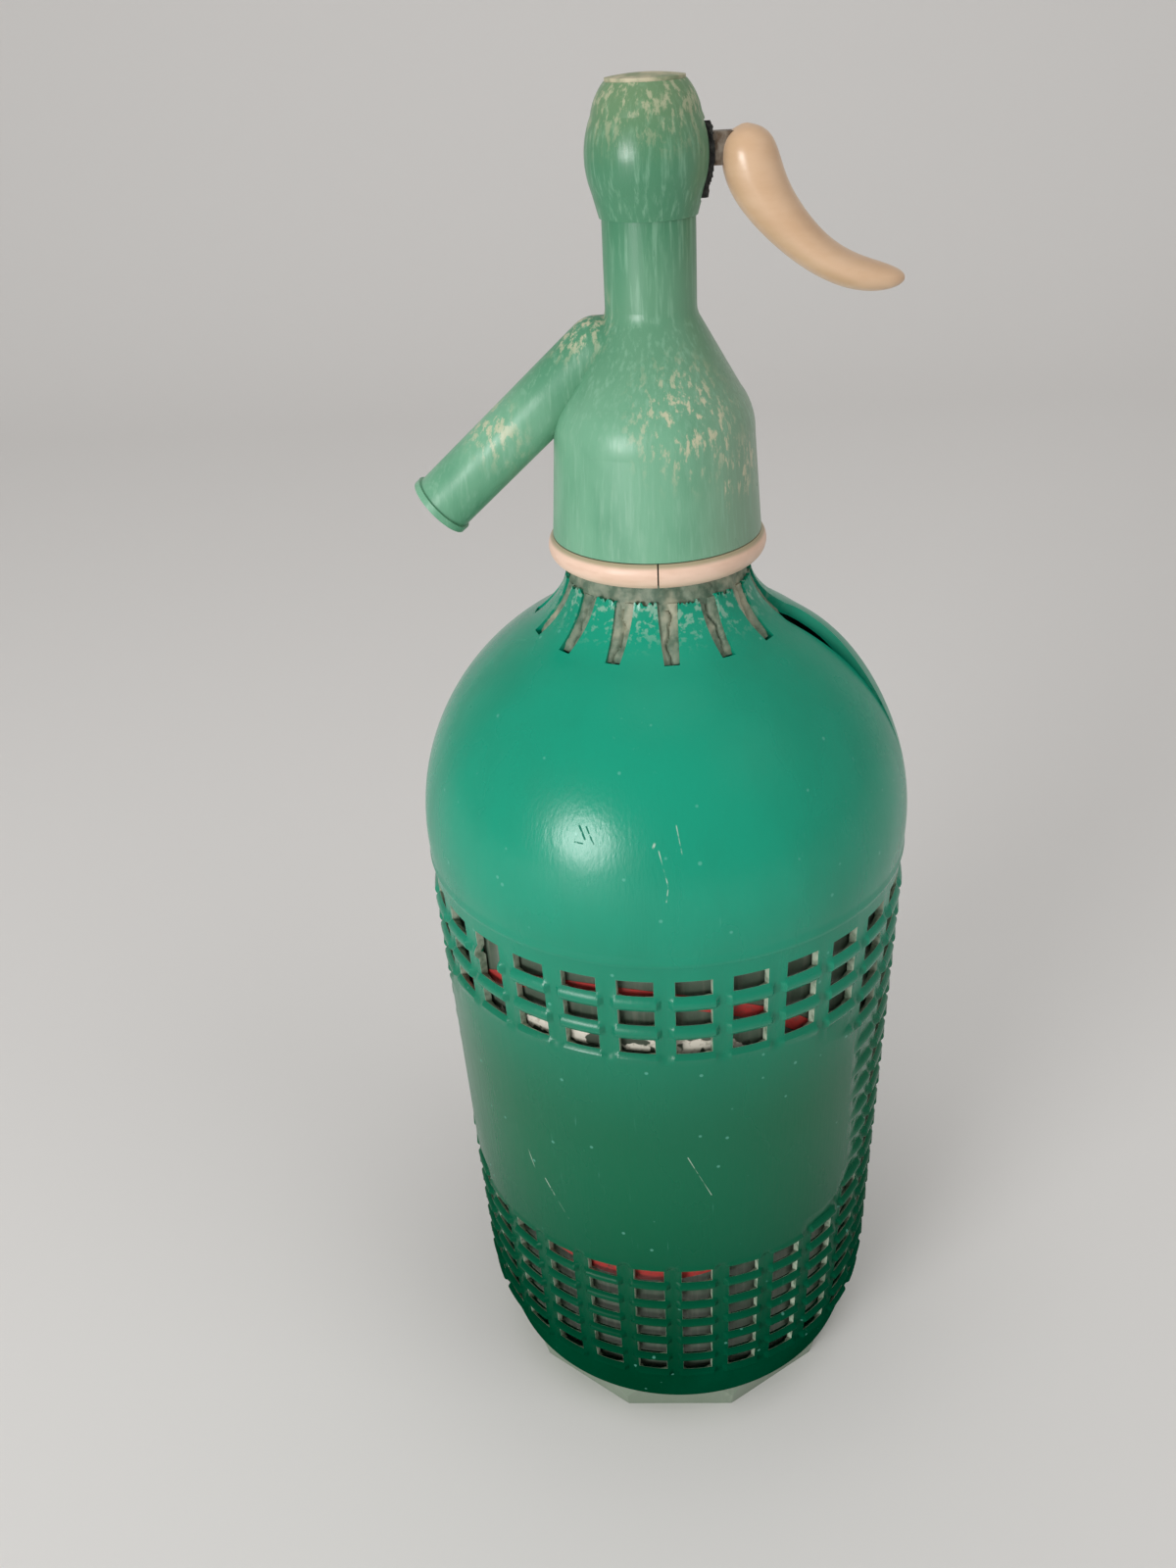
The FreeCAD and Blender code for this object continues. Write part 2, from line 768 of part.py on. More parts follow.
def make_spring():
    """Compression spring between the piston and the guide."""
    low = piston_top + spring_wire_radius + spring_end_gap
    high = guide_bottom - spring_wire_radius - spring_end_gap
    path = Part.makeHelix((high - low) / spring_turns, high - low, spring_coil_radius)
    path.translate(FreeCAD.Vector(0, 0, low))
    wire = path.Edges[0]
    start = wire.valueAt(wire.FirstParameter)
    heading = wire.tangentAt(wire.FirstParameter)
    section = Part.Wire(Part.Circle(start, heading, spring_wire_radius).toShape())
    return Part.Wire(path.Edges).makePipeShell([section], True, True)


def make_washer_cup():
    """Cup on the stem's foot that holds the washer."""
    cup = disc(cup_radius, cup_bottom - cup_lip, cup_top)
    room = disc(washer_radius + fit_clearance, cup_bottom - cup_lip - cut_margin, cup_bottom)
    hole = disc(washer_screw_radius + fit_clearance, cup_bottom - cut_margin, cup_top)
    return cup.cut([room, hole])


def make_washer_screw():
    """Screw that clamps the washer in its cup from below."""
    head = disc(washer_screw_head_radius, washer_bottom - washer_screw_head_height, washer_bottom)
    return head.fuse(disc(washer_screw_radius, washer_bottom, cup_top))


def make_lever_arm():
    """Flat metal bar through the slot: tongue inside, tang in the handle."""
    height = lever_axis_height
    half = lever_thickness / 2
    beyond = half + cut_margin
    tongue = lever_tongue_height / 2
    nose_x = tongue - lever_tongue_past_stem
    shoulder_x = lever_pivot_x - lever_tongue_shoulder
    bar_half = lever_bar_height / 2
    tang_half = lever_tang_height / 2
    bar = block(shoulder_x - cut_margin, lever_bar_end, half, height - bar_half, height + bar_half)
    inner = block(nose_x, shoulder_x, half, height - tongue, height + tongue)
    nose = cross_bar(tongue, nose_x, height, -half, half)
    tang = block(lever_bar_end - cut_margin, lever_bar_end + lever_tang_length, half, height - tang_half,
                 height + tang_half)
    radius = drive_pin_radius + drive_hole_clearance
    holes = [
        cross_bar(lever_pin_radius + fit_clearance, lever_pivot_x, height, -beyond, beyond),
        block(-drive_hole_slip_out, drive_hole_slip_in, beyond, height - radius, height + radius),
        cross_bar(radius, -drive_hole_slip_out, height, -beyond, beyond),
        cross_bar(radius, drive_hole_slip_in, height, -beyond, beyond),
    ]
    return bar.fuse([inner, nose, tang]).cut(holes)


def make_handle(arm):
    """Moulded thumb handle, lofted along its curve and hollowed for the tang."""
    places = [FreeCAD.Vector(lever_bar_end + out, 0, lever_axis_height + rise) for out, rise, _, _ in handle_sections]
    side = FreeCAD.Vector(0, 1, 0)
    roundness_gap = 0.001
    wires = []
    for number, (_, _, thick, wide) in enumerate(handle_sections):
        before = places[max(number - 1, 0)]
        after = places[min(number + 1, len(places) - 1)]
        across = side.cross(after.sub(before).normalize())
        place = places[number]
        long_tip = place.add(side * (max(thick, wide) + roundness_gap))
        short_tip = place.add(across * min(thick, wide))
        wires.append(Part.Wire(Part.Ellipse(long_tip, short_tip, place).toShape()))
    return Part.makeLoft(wires, True, False).cut(arm)


def make_cap():
    """Plug with a slightly domed rim that closes the bulb."""
    edge = cap_rim_thickness / 2
    crown = cap_rim_thickness - edge
    sphere = (cap_rim_radius ** 2 + crown ** 2) / (2 * crown)
    middle = sphere - math.sqrt(sphere ** 2 - (cap_rim_radius / 2) ** 2)
    top = bulb_top + cap_rim_thickness
    return turned(
        (0, cavity_ceiling),
        [(cap_radius, cavity_ceiling)],
        [(cap_radius, bulb_top)],
        [(cap_rim_radius, bulb_top)],
        [(cap_rim_radius, bulb_top + edge)],
        [(cap_rim_radius / 2, top - middle), (0, top)],
    )


def save_bottle_and_collar():
    save(make_bottle(), "glass_bottle")
    save(make_jacket(), "plastic_jacket")
    save(make_collar_half(1), "collar_half_lever_side")
    save(make_collar_half(-1), "collar_half_spout_side")
    save(ring(gasket_outer_radius, neck_bore_radius + gasket_bore_gap, bottle_height, bush_flange_bottom),
         "neck_gasket")
    save(make_bush(), "dip_tube_bush")
    save(ring(tube_radius, tube_bore_radius, bottom_thickness + tube_foot_gap, head_ceiling), "dip_tube")


def save_head_and_valve():
    save(make_head(), "head_body")
    save(make_spout_liner(), "spout_liner")
    save(make_seat(), "valve_seat")
    save(ring(washer_radius, washer_screw_radius + fit_clearance, washer_bottom, cup_bottom), "valve_washer")
    save(make_washer_cup(), "washer_cup")
    save(make_washer_screw(), "washer_screw")
    save(make_stem(), "valve_stem")
    save(ring(retainer_radius, stem_radius, retainer_bottom, seal_bottom), "seal_retainer")
    save(ring(chamber_radius - seal_gap, stem_radius, seal_bottom, piston_bottom), "piston_seal")
    save(make_spring(), "valve_spring")
    save(ring(chamber_radius, stem_radius + stem_running_clearance, guide_bottom, guide_top), "stem_guide")
    save(make_cap(), "top_cap")


def save_lever():
    drive_end = fork_radius - drive_pin_recess
    arm = make_lever_arm()
    pin = cross_bar(lever_pin_radius, lever_pivot_x, lever_axis_height, lever_pin_blind_wall - pin_reach,
                    pin_reach - lever_pin_recess)
    save(cross_bar(drive_pin_radius, 0, lever_axis_height, -drive_end, drive_end), "drive_pin")
    save(arm, "lever_arm")
    save(make_handle(arm), "lever_handle")
    save(pin, "lever_pin")
    save(make_gaiter(), "slot_gaiter")


save_bottle_and_collar()
save_head_and_valve()
save_lever()
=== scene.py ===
import math
import random
import bpy
from mathutils import Matrix, Vector


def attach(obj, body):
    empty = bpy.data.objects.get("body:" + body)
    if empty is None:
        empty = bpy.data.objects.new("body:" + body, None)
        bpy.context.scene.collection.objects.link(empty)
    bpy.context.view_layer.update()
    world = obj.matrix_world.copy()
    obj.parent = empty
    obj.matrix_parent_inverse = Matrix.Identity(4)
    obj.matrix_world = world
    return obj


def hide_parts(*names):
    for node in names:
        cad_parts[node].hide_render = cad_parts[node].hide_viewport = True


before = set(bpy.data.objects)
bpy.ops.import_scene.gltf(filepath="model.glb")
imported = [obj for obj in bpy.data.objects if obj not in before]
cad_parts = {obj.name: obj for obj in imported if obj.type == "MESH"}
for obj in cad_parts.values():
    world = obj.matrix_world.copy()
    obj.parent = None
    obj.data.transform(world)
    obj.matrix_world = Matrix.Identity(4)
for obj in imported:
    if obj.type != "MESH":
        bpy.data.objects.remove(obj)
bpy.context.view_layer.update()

bpy.ops.object.select_all(action="DESELECT")
MM = 0.001

# The bottle is thick grey-green glass, blown in a mould that gives it a ten-sided foot. It
# keeps the CAD node's shape. Its finish is old glass with a film of dirt that thickens at
# the neck and foot, where hands and cloths never reach.


class Finish:
    """One Principled material with short calls for the nodes that these finishes share."""

    def __init__(self, name, roughness=0.5, metallic=0.0):
        self.material = bpy.data.materials.new(name)
        self.material.use_nodes = True
        self.tree = self.material.node_tree
        self.shader = self.tree.nodes["Principled BSDF"]
        self.shader.inputs["Roughness"].default_value = roughness
        self.shader.inputs["Metallic"].default_value = metallic
        self.place = self.add("ShaderNodeTexCoord").outputs["Object"]

    def add(self, kind, **values):
        node = self.tree.nodes.new(kind)
        for key, value in values.items():
            setattr(node, key, value)
        return node

    def join(self, source, target):
        self.tree.links.new(source, target)

    def set(self, target, value):
        """Link a socket, or write a plain value."""
        if hasattr(value, "is_output"):
            self.join(value, target)
        elif target.type == "RGBA" and len(value) == 3:
            target.default_value = (*value, 1)
        else:
            target.default_value = value

    def spread(self, scale, shift=(0, 0, 0)):
        """Object coordinates, stretched by a scale per axis."""
        mapping = self.add("ShaderNodeMapping")
        self.join(self.place, mapping.inputs["Vector"])
        mapping.inputs["Scale"].default_value = scale
        mapping.inputs["Location"].default_value = shift
        return mapping.outputs["Vector"]

    def noise(self, scale, detail=4, rough=0.55, shift=(0, 0, 0), distortion=0.0):
        node = self.add("ShaderNodeTexNoise")
        self.join(self.spread(scale, shift), node.inputs["Vector"])
        node.inputs["Scale"].default_value = 1
        node.inputs["Detail"].default_value = detail
        node.inputs["Roughness"].default_value = rough
        node.inputs["Distortion"].default_value = distortion
        return node.outputs["Fac"]

    def cells(self, scale):
        node = self.add("ShaderNodeTexVoronoi")
        self.join(self.spread(scale), node.inputs["Vector"])
        node.inputs["Scale"].default_value = 1
        return node.outputs["Distance"]

    def step(self, value, low, high):
        """0 below low, 1 above high, or the other way round if low is the larger."""
        node = self.add("ShaderNodeMapRange", interpolation_type="SMOOTHSTEP")
        self.join(value, node.inputs["Value"])
        node.inputs["From Min"].default_value = low
        node.inputs["From Max"].default_value = high
        return node.outputs["Result"]

    def math(self, operation, first, second=0.0):
        node = self.add("ShaderNodeMath", operation=operation)
        self.set(node.inputs[0], first)
        self.set(node.inputs[1], second)
        return node.outputs["Value"]

    def times(self, first, second):
        return self.math("MULTIPLY", first, second)

    def most(self, *shares):
        """The largest of several shares at each point."""
        largest = shares[0]
        for share in shares[1:]:
            largest = self.math("MAXIMUM", largest, share)
        return largest

    def blend(self, share, first, second):
        node = self.add("ShaderNodeMix", data_type="RGBA")
        self.set(node.inputs["Factor"], share)
        self.set(node.inputs[6], first)
        self.set(node.inputs[7], second)
        return node.outputs[2]

    def axis(self, name):
        node = self.add("ShaderNodeSeparateXYZ")
        self.join(self.place, node.inputs[0])
        return node.outputs[name]

    def turn(self):
        """Angle round the bottle's axis in radians."""
        return self.math("ARCTAN2", self.axis("X"), self.axis("Y"))

    def near(self, spot, reach):
        """1 at a spot, falling to 0 at a distance from it, both given in millimetres."""
        node = self.add("ShaderNodeVectorMath", operation="DISTANCE")
        self.join(self.place, node.inputs[0])
        node.inputs[1].default_value = Vector(spot) * MM
        return self.step(node.outputs["Value"], reach * MM, 0.2 * reach * MM)

    def scratch(self, start, end, width):
        """1 on a thin straight line between two points, all given in millimetres."""
        start = Vector(start) * MM
        run = Vector(end) * MM - start
        width = width * MM
        offset = self.add("ShaderNodeVectorMath", operation="SUBTRACT")
        self.join(self.place, offset.inputs[0])
        offset.inputs[1].default_value = start
        across = self.add("ShaderNodeVectorMath", operation="CROSS_PRODUCT")
        along = self.add("ShaderNodeVectorMath", operation="DOT_PRODUCT")
        for node in (across, along):
            self.join(offset.outputs["Vector"], node.inputs[0])
            node.inputs[1].default_value = run.normalized()
        size = self.add("ShaderNodeVectorMath", operation="LENGTH")
        self.join(across.outputs["Vector"], size.inputs[0])
        line = self.step(size.outputs["Value"], width, 0.4 * width)
        near_end = self.step(along.outputs["Value"], -width, width)
        far_end = self.step(along.outputs["Value"], run.length + width, run.length - width)
        return self.times(self.times(line, near_end), far_end)

    def scratches(self, lines):
        """1 on any of several scratches."""
        return self.most(*[self.scratch(*line) for line in lines])

    def relief(self, height, strength, distance):
        node = self.add("ShaderNodeBump")
        node.inputs["Strength"].default_value = strength
        node.inputs["Distance"].default_value = distance
        self.join(height, node.inputs["Height"])
        last = self.shader.inputs["Normal"]
        if last.is_linked:
            self.join(last.links[0].from_socket, node.inputs["Normal"])
        self.join(node.outputs["Normal"], last)

    def colour(self, value):
        self.set(self.shader.inputs["Base Color"], value)

    def rough(self, value):
        self.set(self.shader.inputs["Roughness"], value)


def dress(node, finish):
    """Give a CAD node its finish."""
    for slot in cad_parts[node].material_slots:
        slot.material = finish.material


GLASS_TINT = (0.17, 0.235, 0.17)
GLASS_STREAK = (0.34, 0.37, 0.29)
GLASS_GRIME = (0.19, 0.24, 0.18)
GLASS_CLEARNESS = 0.55
GLASS_INDEX = 1.5
NECK_FILM = (188 * MM, 200 * MM)
FOOT_FILM = (20 * MM, 4 * MM)
glass = Finish("old_bottle_glass", roughness=0.12)
grime = glass.noise((90, 90, 45), detail=6)
glass_height = glass.axis("Z")
film = glass.most(glass.step(glass_height, *NECK_FILM), glass.step(glass_height, *FOOT_FILM))
film = glass.times(film, glass.step(grime, 0.10, 0.55))
streaks = glass.noise((700, 700, 35), detail=4, rough=0.65)
streak_share = glass.times(glass.step(streaks, 0.45, 0.70), 0.7)
glass_tone = glass.blend(streak_share, GLASS_TINT, GLASS_STREAK)
glass.colour(glass.blend(film, glass_tone, GLASS_GRIME))
glass.rough(glass.step(grime, -0.4, 1.6))
clearness = glass.math("SUBTRACT", GLASS_CLEARNESS, film)
glass.set(glass.shader.inputs["Transmission Weight"], clearness)
glass.shader.inputs["IOR"].default_value = GLASS_INDEX
glass.relief(glass.noise((60, 60, 25), detail=3), 0.15, 0.6 * MM)
dress("glass_bottle", glass)


# Enamel was screened on the glass and fired: a red oval line and, inside it, a broken
# white scalloped band. Only scraps of it show through the windows of the jacket.
ENAMEL_LIFT = 0.12 * MM
ENAMEL_THICKNESS = 0.1 * MM
ENAMEL_AROUND = 360
ENAMEL_ACROSS = 4
OVAL_AZIMUTH = math.radians(-13.9)
OVAL_HEIGHT = 95.7 * MM
OVAL_HALF_WIDTH = 55 * MM
OVAL_HALF_HEIGHT = 43.3 * MM
OVAL_LINE = 3.4 * MM
BAND_OUTER_INSET = 11.4 * MM
BAND_INNER_INSET = 16.2 * MM
BAND_ROUNDNESS = 0.72
SCALLOP_COUNT = 64
SCALLOP_DEPTH = 1.3 * MM
GLASS_HEEL = (45.9 * MM, 28 * MM)
GLASS_SHOULDER = (50.3 * MM, 153.5 * MM)
WELD_REACH = 1e-6
RED_ENAMEL = (0.46, 0.045, 0.04)
RED_CHIPPED = (0.28, 0.06, 0.05)
RED_LOST = 0.30
WHITE_ENAMEL = (0.74, 0.69, 0.60)
WHITE_CHIPPED = (0.50, 0.46, 0.38)
WHITE_LOST = 0.49
WORN_GLASS = (0.055, 0.070, 0.050)


def around(radius, angle, height):
    """A point at a radius from the bottle's axis, with its angle counted from the front."""
    return (radius * math.sin(angle), -radius * math.cos(angle), height)


def glass_radius(z):
    """Radius of the bottle's tapering wall at a height."""
    share = (z - GLASS_HEEL[1]) / (GLASS_SHOULDER[1] - GLASS_HEEL[1])
    return GLASS_HEEL[0] + share * (GLASS_SHOULDER[0] - GLASS_HEEL[0])


def close_ring(cut=False):
    """Cut away the selected faces, if asked, and weld a grid's ends into a closed ring."""
    bpy.ops.object.mode_set(mode="EDIT")
    if cut:
        bpy.ops.mesh.delete(type="FACE")
    bpy.ops.mesh.select_all(action="SELECT")
    bpy.ops.mesh.remove_doubles(threshold=WELD_REACH)
    bpy.ops.mesh.normals_make_consistent(inside=False)
    bpy.ops.object.mode_set(mode="OBJECT")


def thicken(piece, thickness, rim_slot=0):
    """Give a sheet of faces its thickness, inwards."""
    wall = piece.modifiers.new("thickness", "SOLIDIFY")
    wall.thickness = thickness
    wall.offset = -1
    wall.material_offset_rim = rim_slot
    bpy.context.view_layer.objects.active = piece
    bpy.ops.object.modifier_apply(modifier=wall.name)


def enamel_band(name, outer_inset, inner_inset, wave, roundness):
    """A ring of faces laid inside the oval, from one inset to another, on the bottle's wall."""
    bpy.ops.mesh.primitive_grid_add(x_subdivisions=ENAMEL_AROUND, y_subdivisions=ENAMEL_ACROSS, size=2)
    band = bpy.context.object
    band.name = name
    for vertex in band.data.vertices:
        turn = math.pi * (vertex.co.x + 1)
        across = (vertex.co.y + 1) / 2
        inset = outer_inset + across * (inner_inset - outer_inset) + wave(turn) * (1 - across)
        cosine = math.copysign(abs(math.cos(turn)) ** roundness, math.cos(turn))
        sine = math.copysign(abs(math.sin(turn)) ** roundness, math.sin(turn))
        along_wall = (OVAL_HALF_WIDTH - inset) * cosine
        height = OVAL_HEIGHT + (OVAL_HALF_HEIGHT - inset) * sine
        radius = glass_radius(height) + ENAMEL_LIFT
        vertex.co = around(radius, OVAL_AZIMUTH + along_wall / radius, height)
    close_ring()
    thicken(band, ENAMEL_THICKNESS)
    return band


def enamel_finish(name, colour, chipped, lost_below):
    """Fired enamel, worn through to dull dark glass where its noise lies below a level."""
    finish = Finish(name, roughness=0.45)
    chips = finish.noise((700, 700, 700), detail=3)
    tone = finish.blend(finish.step(chips, 0.52, 0.68), colour, chipped)
    patches = finish.noise((330, 330, 300), detail=2, rough=0.4)
    lost = finish.step(patches, lost_below + 0.02, lost_below - 0.02)
    finish.colour(finish.blend(lost, tone, WORN_GLASS))
    finish.relief(chips, 0.2, 0.1 * MM)
    return finish


def scallop(turn):
    return SCALLOP_DEPTH * abs(math.sin(SCALLOP_COUNT * turn / 2)) ** 0.5


def plain(turn):
    return 0.0


red_enamel = enamel_finish("red_enamel", RED_ENAMEL, RED_CHIPPED, RED_LOST)
white_enamel = enamel_finish("white_enamel", WHITE_ENAMEL, WHITE_CHIPPED, WHITE_LOST)
for name, outer_inset, inner_inset, wave, roundness, finish in (
    ("enamel_oval_line", 0, OVAL_LINE, plain, 1.0, red_enamel),
    ("enamel_scalloped_band", BAND_OUTER_INSET, BAND_INNER_INSET, scallop, BAND_ROUNDNESS, white_enamel),
):
    band = enamel_band(name, outer_inset, inner_inset, wave, roundness)
    band.data.materials.append(finish.material)
    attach(band, "siphon")
    bpy.ops.object.select_all(action="DESELECT")


# The cage is the jacket's lower part, moulded in green polyethylene: rows of windows with a
# raised rib under each, flat upright bars, and a plain panel. It is made flat as a grid of
# faces, wrapped round the bottle, and given its wall.
COLUMNS = 28
COLUMN_PITCH = 2 * math.pi / COLUMNS
COLUMN_START = math.radians(-7.5)
BROKEN_COLUMN = COLUMNS - 3
ROWS = 18
ROW_TOP = 140.6 * MM
ROW_PITCH = 7.5 * MM
ROW_PITCH_SHRINK = 0.0875 * MM
WINDOW_HALF = 3.55 * MM
WINDOW_HALF_HEIGHT = 1.85 * MM
WINDOW_CHAMFER = 0.32 * MM
WINDOW_EDGE = 0.5525
BAR_LINES = (-1.0, -0.88, -0.72, -WINDOW_EDGE, -0.27, 0.0, 0.27, WINDOW_EDGE, 0.72, 0.88)
WINDOW_STRETCHES = range(3, 7)
RIB_HEIGHT = 1.12 * MM
RIB_LINES = ((0.0, 0.05), (0.14, 0.5), (0.32, 0.9), (0.5, 1.0), (0.7, 0.85), (0.88, 0.4))
RIB_AT_WINDOW = 0.1
RIB_END = 0.88
RIB_MITRE = 0.16
LAST_RIB = 2.6 * MM
FOOT_LINES = 8
HEAD_LINES = 3
CAGE_WALL = 1.8 * MM
JACKET_GAP = 0.3 * MM
CAGE_TOP = 146.9 * MM
CAGE_FOOT = 10.0 * MM
CAGE_MEAN_RADIUS = 50 * MM
HEEL_MIDDLE_RADIUS = 46.95 * MM
FOOT_RADIUS = 44.9 * MM
PANEL_AZIMUTH = math.radians(-13.9)
PANEL_HEIGHT = 91.0 * MM
PANEL_HALF_WIDTH = 46.5 * MM
PANEL_HALF_HEIGHT = 31.4 * MM
PANEL_CORNER = 14.0 * MM
PANEL_PROUD = 0.75 * MM
PANEL_SLOPE = 2.0 * MM
WALL_CREASE = math.radians(38)
CHAMFER_CREASE = math.radians(32)


def row_height(row):
    """Height of the middle of a row of windows. The rows draw together towards the foot."""
    return ROW_TOP - row * ROW_PITCH + ROW_PITCH_SHRINK * row * (row - 1) / 2


def column_angle(column):
    return COLUMN_START + column * COLUMN_PITCH


def cage_radius(z):
    """Outer radius of the plain wall: a taper that rounds in at the heel."""
    if z >= GLASS_HEEL[1]:
        return glass_radius(z) + JACKET_GAP + CAGE_WALL
    top = glass_radius(GLASS_HEEL[1]) + JACKET_GAP + CAGE_WALL
    t = (z - CAGE_FOOT) / (GLASS_HEEL[1] - CAGE_FOOT)
    foot = (1 - t) * (1 - 2 * t) * FOOT_RADIUS
    middle = t * (1 - t) * 4 * HEEL_MIDDLE_RADIUS
    return foot + middle + t * (2 * t - 1) * top


def panel_distance(angle, z):
    """Distance outside the panel's rounded outline, negative inside it."""
    turn = (angle - PANEL_AZIMUTH + math.pi) % (2 * math.pi) - math.pi
    if abs(turn) > math.pi / 2:
        return 1.0
    over_x = abs(cage_radius(z) * math.sin(turn)) - PANEL_HALF_WIDTH + PANEL_CORNER
    over_z = abs(z - PANEL_HEIGHT) - PANEL_HALF_HEIGHT + PANEL_CORNER
    inside = min(max(over_x, over_z), 0)
    return math.hypot(max(over_x, 0), max(over_z, 0)) + inside - PANEL_CORNER


def smooth(value):
    value = min(max(value, 0.0), 1.0)
    return value * value * (3 - 2 * value)


def cage_lines():
    """The grid's lines from the head down, each with its height, share of rib, row and kind."""
    lines = []
    for row in range(ROWS):
        sill = row_height(row) - WINDOW_HALF_HEIGHT
        next_window = row_height(row + 1) + WINDOW_HALF_HEIGHT
        rib_foot = next_window if row < ROWS - 1 else sill - LAST_RIB
        lines.append((row_height(row) + WINDOW_HALF_HEIGHT, RIB_AT_WINDOW, row, "window"))
        for place, share in RIB_LINES:
            lines.append((sill + place * (rib_foot - sill), share, row, "rib"))
    last = lines[-1][0]
    for number in range(1, FOOT_LINES + 1):
        lines.append((last + number * (CAGE_FOOT - last) / FOOT_LINES, 0.0, ROWS, "foot"))
    top = lines[0][0]
    for number in range(1, HEAD_LINES + 1):
        lines.insert(0, (top + number * (CAGE_TOP - top) / HEAD_LINES, 0.0, -1, "head"))
    return lines


def clear_picks(kind):
    """Leave nothing selected, in face or edge mode, so that code can pick what it changes."""
    bpy.ops.object.mode_set(mode="EDIT")
    bpy.ops.mesh.select_mode(type=kind)
    bpy.ops.mesh.select_all(action="DESELECT")
    bpy.ops.object.mode_set(mode="OBJECT")


def grid_places(mesh, across, up):
    """Column and ring of each vertex of a fresh grid, counted from its lower left corner."""
    places = []
    for vertex in mesh.vertices:
        places.append((round((vertex.co.x + 1) / 2 * across), round((vertex.co.y + 1) / 2 * up)))
    return places


def make_cage():
    lines = cage_lines()
    per_column = len(BAR_LINES)
    across = COLUMNS * per_column
    down = len(lines) - 1
    bpy.ops.mesh.primitive_grid_add(x_subdivisions=across, y_subdivisions=down, size=2)
    cage = bpy.context.object
    cage.name = "jacket_cage"
    places = [(bar_line, down - ring) for bar_line, ring in grid_places(cage.data, across, down)]
    clear_picks("FACE")
    for face in cage.data.polygons:
        column, stretch = divmod(min(places[v][0] for v in face.vertices), per_column)
        _, _, row, kind = lines[min(places[v][1] for v in face.vertices)]
        on_panel = panel_distance(column_angle(column), row_height(row)) < WINDOW_HALF_HEIGHT
        window = kind == "window" and not on_panel
        broken = kind == "rib" and row == 0 and column == BROKEN_COLUMN
        face.select = stretch in WINDOW_STRETCHES and (window or broken)
    for vertex, (bar_line, line) in zip(cage.data.vertices, places):
        column, stretch = divmod(bar_line, per_column)
        offset = BAR_LINES[stretch]
        z, share, _, _ = lines[line]
        turn = offset * COLUMN_PITCH / 2
        if abs(offset) <= WINDOW_EDGE:
            turn = offset / WINDOW_EDGE * WINDOW_HALF / CAGE_MEAN_RADIUS
        angle = column_angle(column) + turn
        rib = RIB_HEIGHT * min(share, max((RIB_END - abs(offset)) / RIB_MITRE, 0))
        plate = smooth(0.5 - panel_distance(angle, z) / PANEL_SLOPE)
        radius = cage_radius(z) + rib * (1 - plate) + PANEL_PROUD * plate
        vertex.co = around(radius, angle, z)
    close_ring(cut=True)
    return cage


def chamfer_windows(piece, width):
    """Cut back the outer edges of the openings, so that their pale edge shows in front."""
    clear_picks("FACE")
    owners = {}
    for face in piece.data.polygons:
        for key in face.edge_keys:
            owners.setdefault(key, []).append(face)
    for edge in piece.data.edges:
        first, second = owners[edge.key]
        cut = first.material_index != second.material_index
        if cut:
            front = first if first.material_index == 0 else second
            faces_out = Vector((front.center.x, front.center.y, 0)).dot(front.normal) > 0
            cut = faces_out and CAGE_FOOT + MM < front.center.z < CAGE_TOP - MM
        edge.select = cut
    bpy.ops.object.mode_set(mode="EDIT")
    bpy.ops.mesh.select_mode(type="EDGE")
    bpy.ops.mesh.bevel(offset=width, offset_type="OFFSET", segments=1, material=1, clamp_overlap=True)
    bpy.ops.mesh.select_all(action="DESELECT")
    bpy.ops.object.mode_set(mode="OBJECT")


def give_wall(piece, thickness, rim_slot, crease):
    """Solid wall inwards, with the rim's faces in a material slot, and smooth up to a crease."""
    thicken(piece, thickness, rim_slot)
    piece.select_set(True)
    bpy.ops.object.shade_smooth_by_angle(angle=crease)


# Painted shade: the jacket's green is brightest on the dome and darkens through the cage to the foot,
# because the lower jacket stands in shadow.
DOME_GREEN = (0.0, 0.300, 0.182)
CAGE_PAINTED_SHADE = (0.0, 0.118, 0.052)
FOOT_PAINTED_SHADE = (0.0, 0.040, 0.016)
JACKET_DEEP = (0.0, 0.120, 0.062)
SCUFF_PALE = (0.16, 0.50, 0.40)
SCUFF_DARK = (0.0, 0.10, 0.065)
CHALK = (0.52, 0.62, 0.52)
CRACK_DARK = (0.006, 0.020, 0.012)
SHADE_FOOT_TO_CAGE = (15 * MM, 95 * MM)
SHADE_CAGE_TO_DOME = (95 * MM, 168 * MM)
JACKET_SHINE = 0.46
SHINE_RISE = (20 * MM, 165 * MM)
NECK_RUB = (199 * MM, 206 * MM)
DOME_MARKS = (
    ((-1.29, -49.67, 171.43), (0.36, -51.74, 164.65), 0.16),
    ((0.36, -51.74, 164.65), (-0.09, -52.35, 161.53), 0.12),
    ((2.12, -47.76, 175.74), (3.07, -49.90, 170.59), 0.13),
    ((-1.99, -49.16, 172.65), (-2.30, -49.50, 171.90), 0.30),
    ((-12.20, -37.60, 188.50), (-11.60, -38.60, 187.60), 0.22),
    ((9.80, -39.50, 187.00), (10.00, -40.20, 186.20), 0.24),
    ((27.0, -40.0, 174.0), (30.0, -40.0, 168.0), 0.14),
)
DOME_SCUFFS = (
    ((-16.12, -45.45, 174.87), (-15.08, -46.90, 172.48), 0.30),
    ((-14.81, -45.89, 174.88), (-13.77, -47.31, 172.48), 0.22),
    ((-17.17, -46.46, 171.83), (-15.48, -47.09, 171.74), 0.20),
    ((-14.29, -46.58, 173.78), (-13.42, -47.68, 171.83), 0.15),
)
PANEL_MARKS = (
    ((1.0, -51.0, 113.0), (10.0, -50.0, 106.0), 0.13),
    ((6.0, -50.5, 101.0), (11.0, -49.5, 93.0), 0.15),
    ((3.0, -51.0, 95.0), (8.0, -50.0, 83.0), 0.12),
    ((-29.0, -41.5, 80.0), (-24.0, -44.0, 70.0), 0.15),
    ((-33.0, -38.5, 89.0), (-30.0, -41.0, 76.0), 0.12),
)
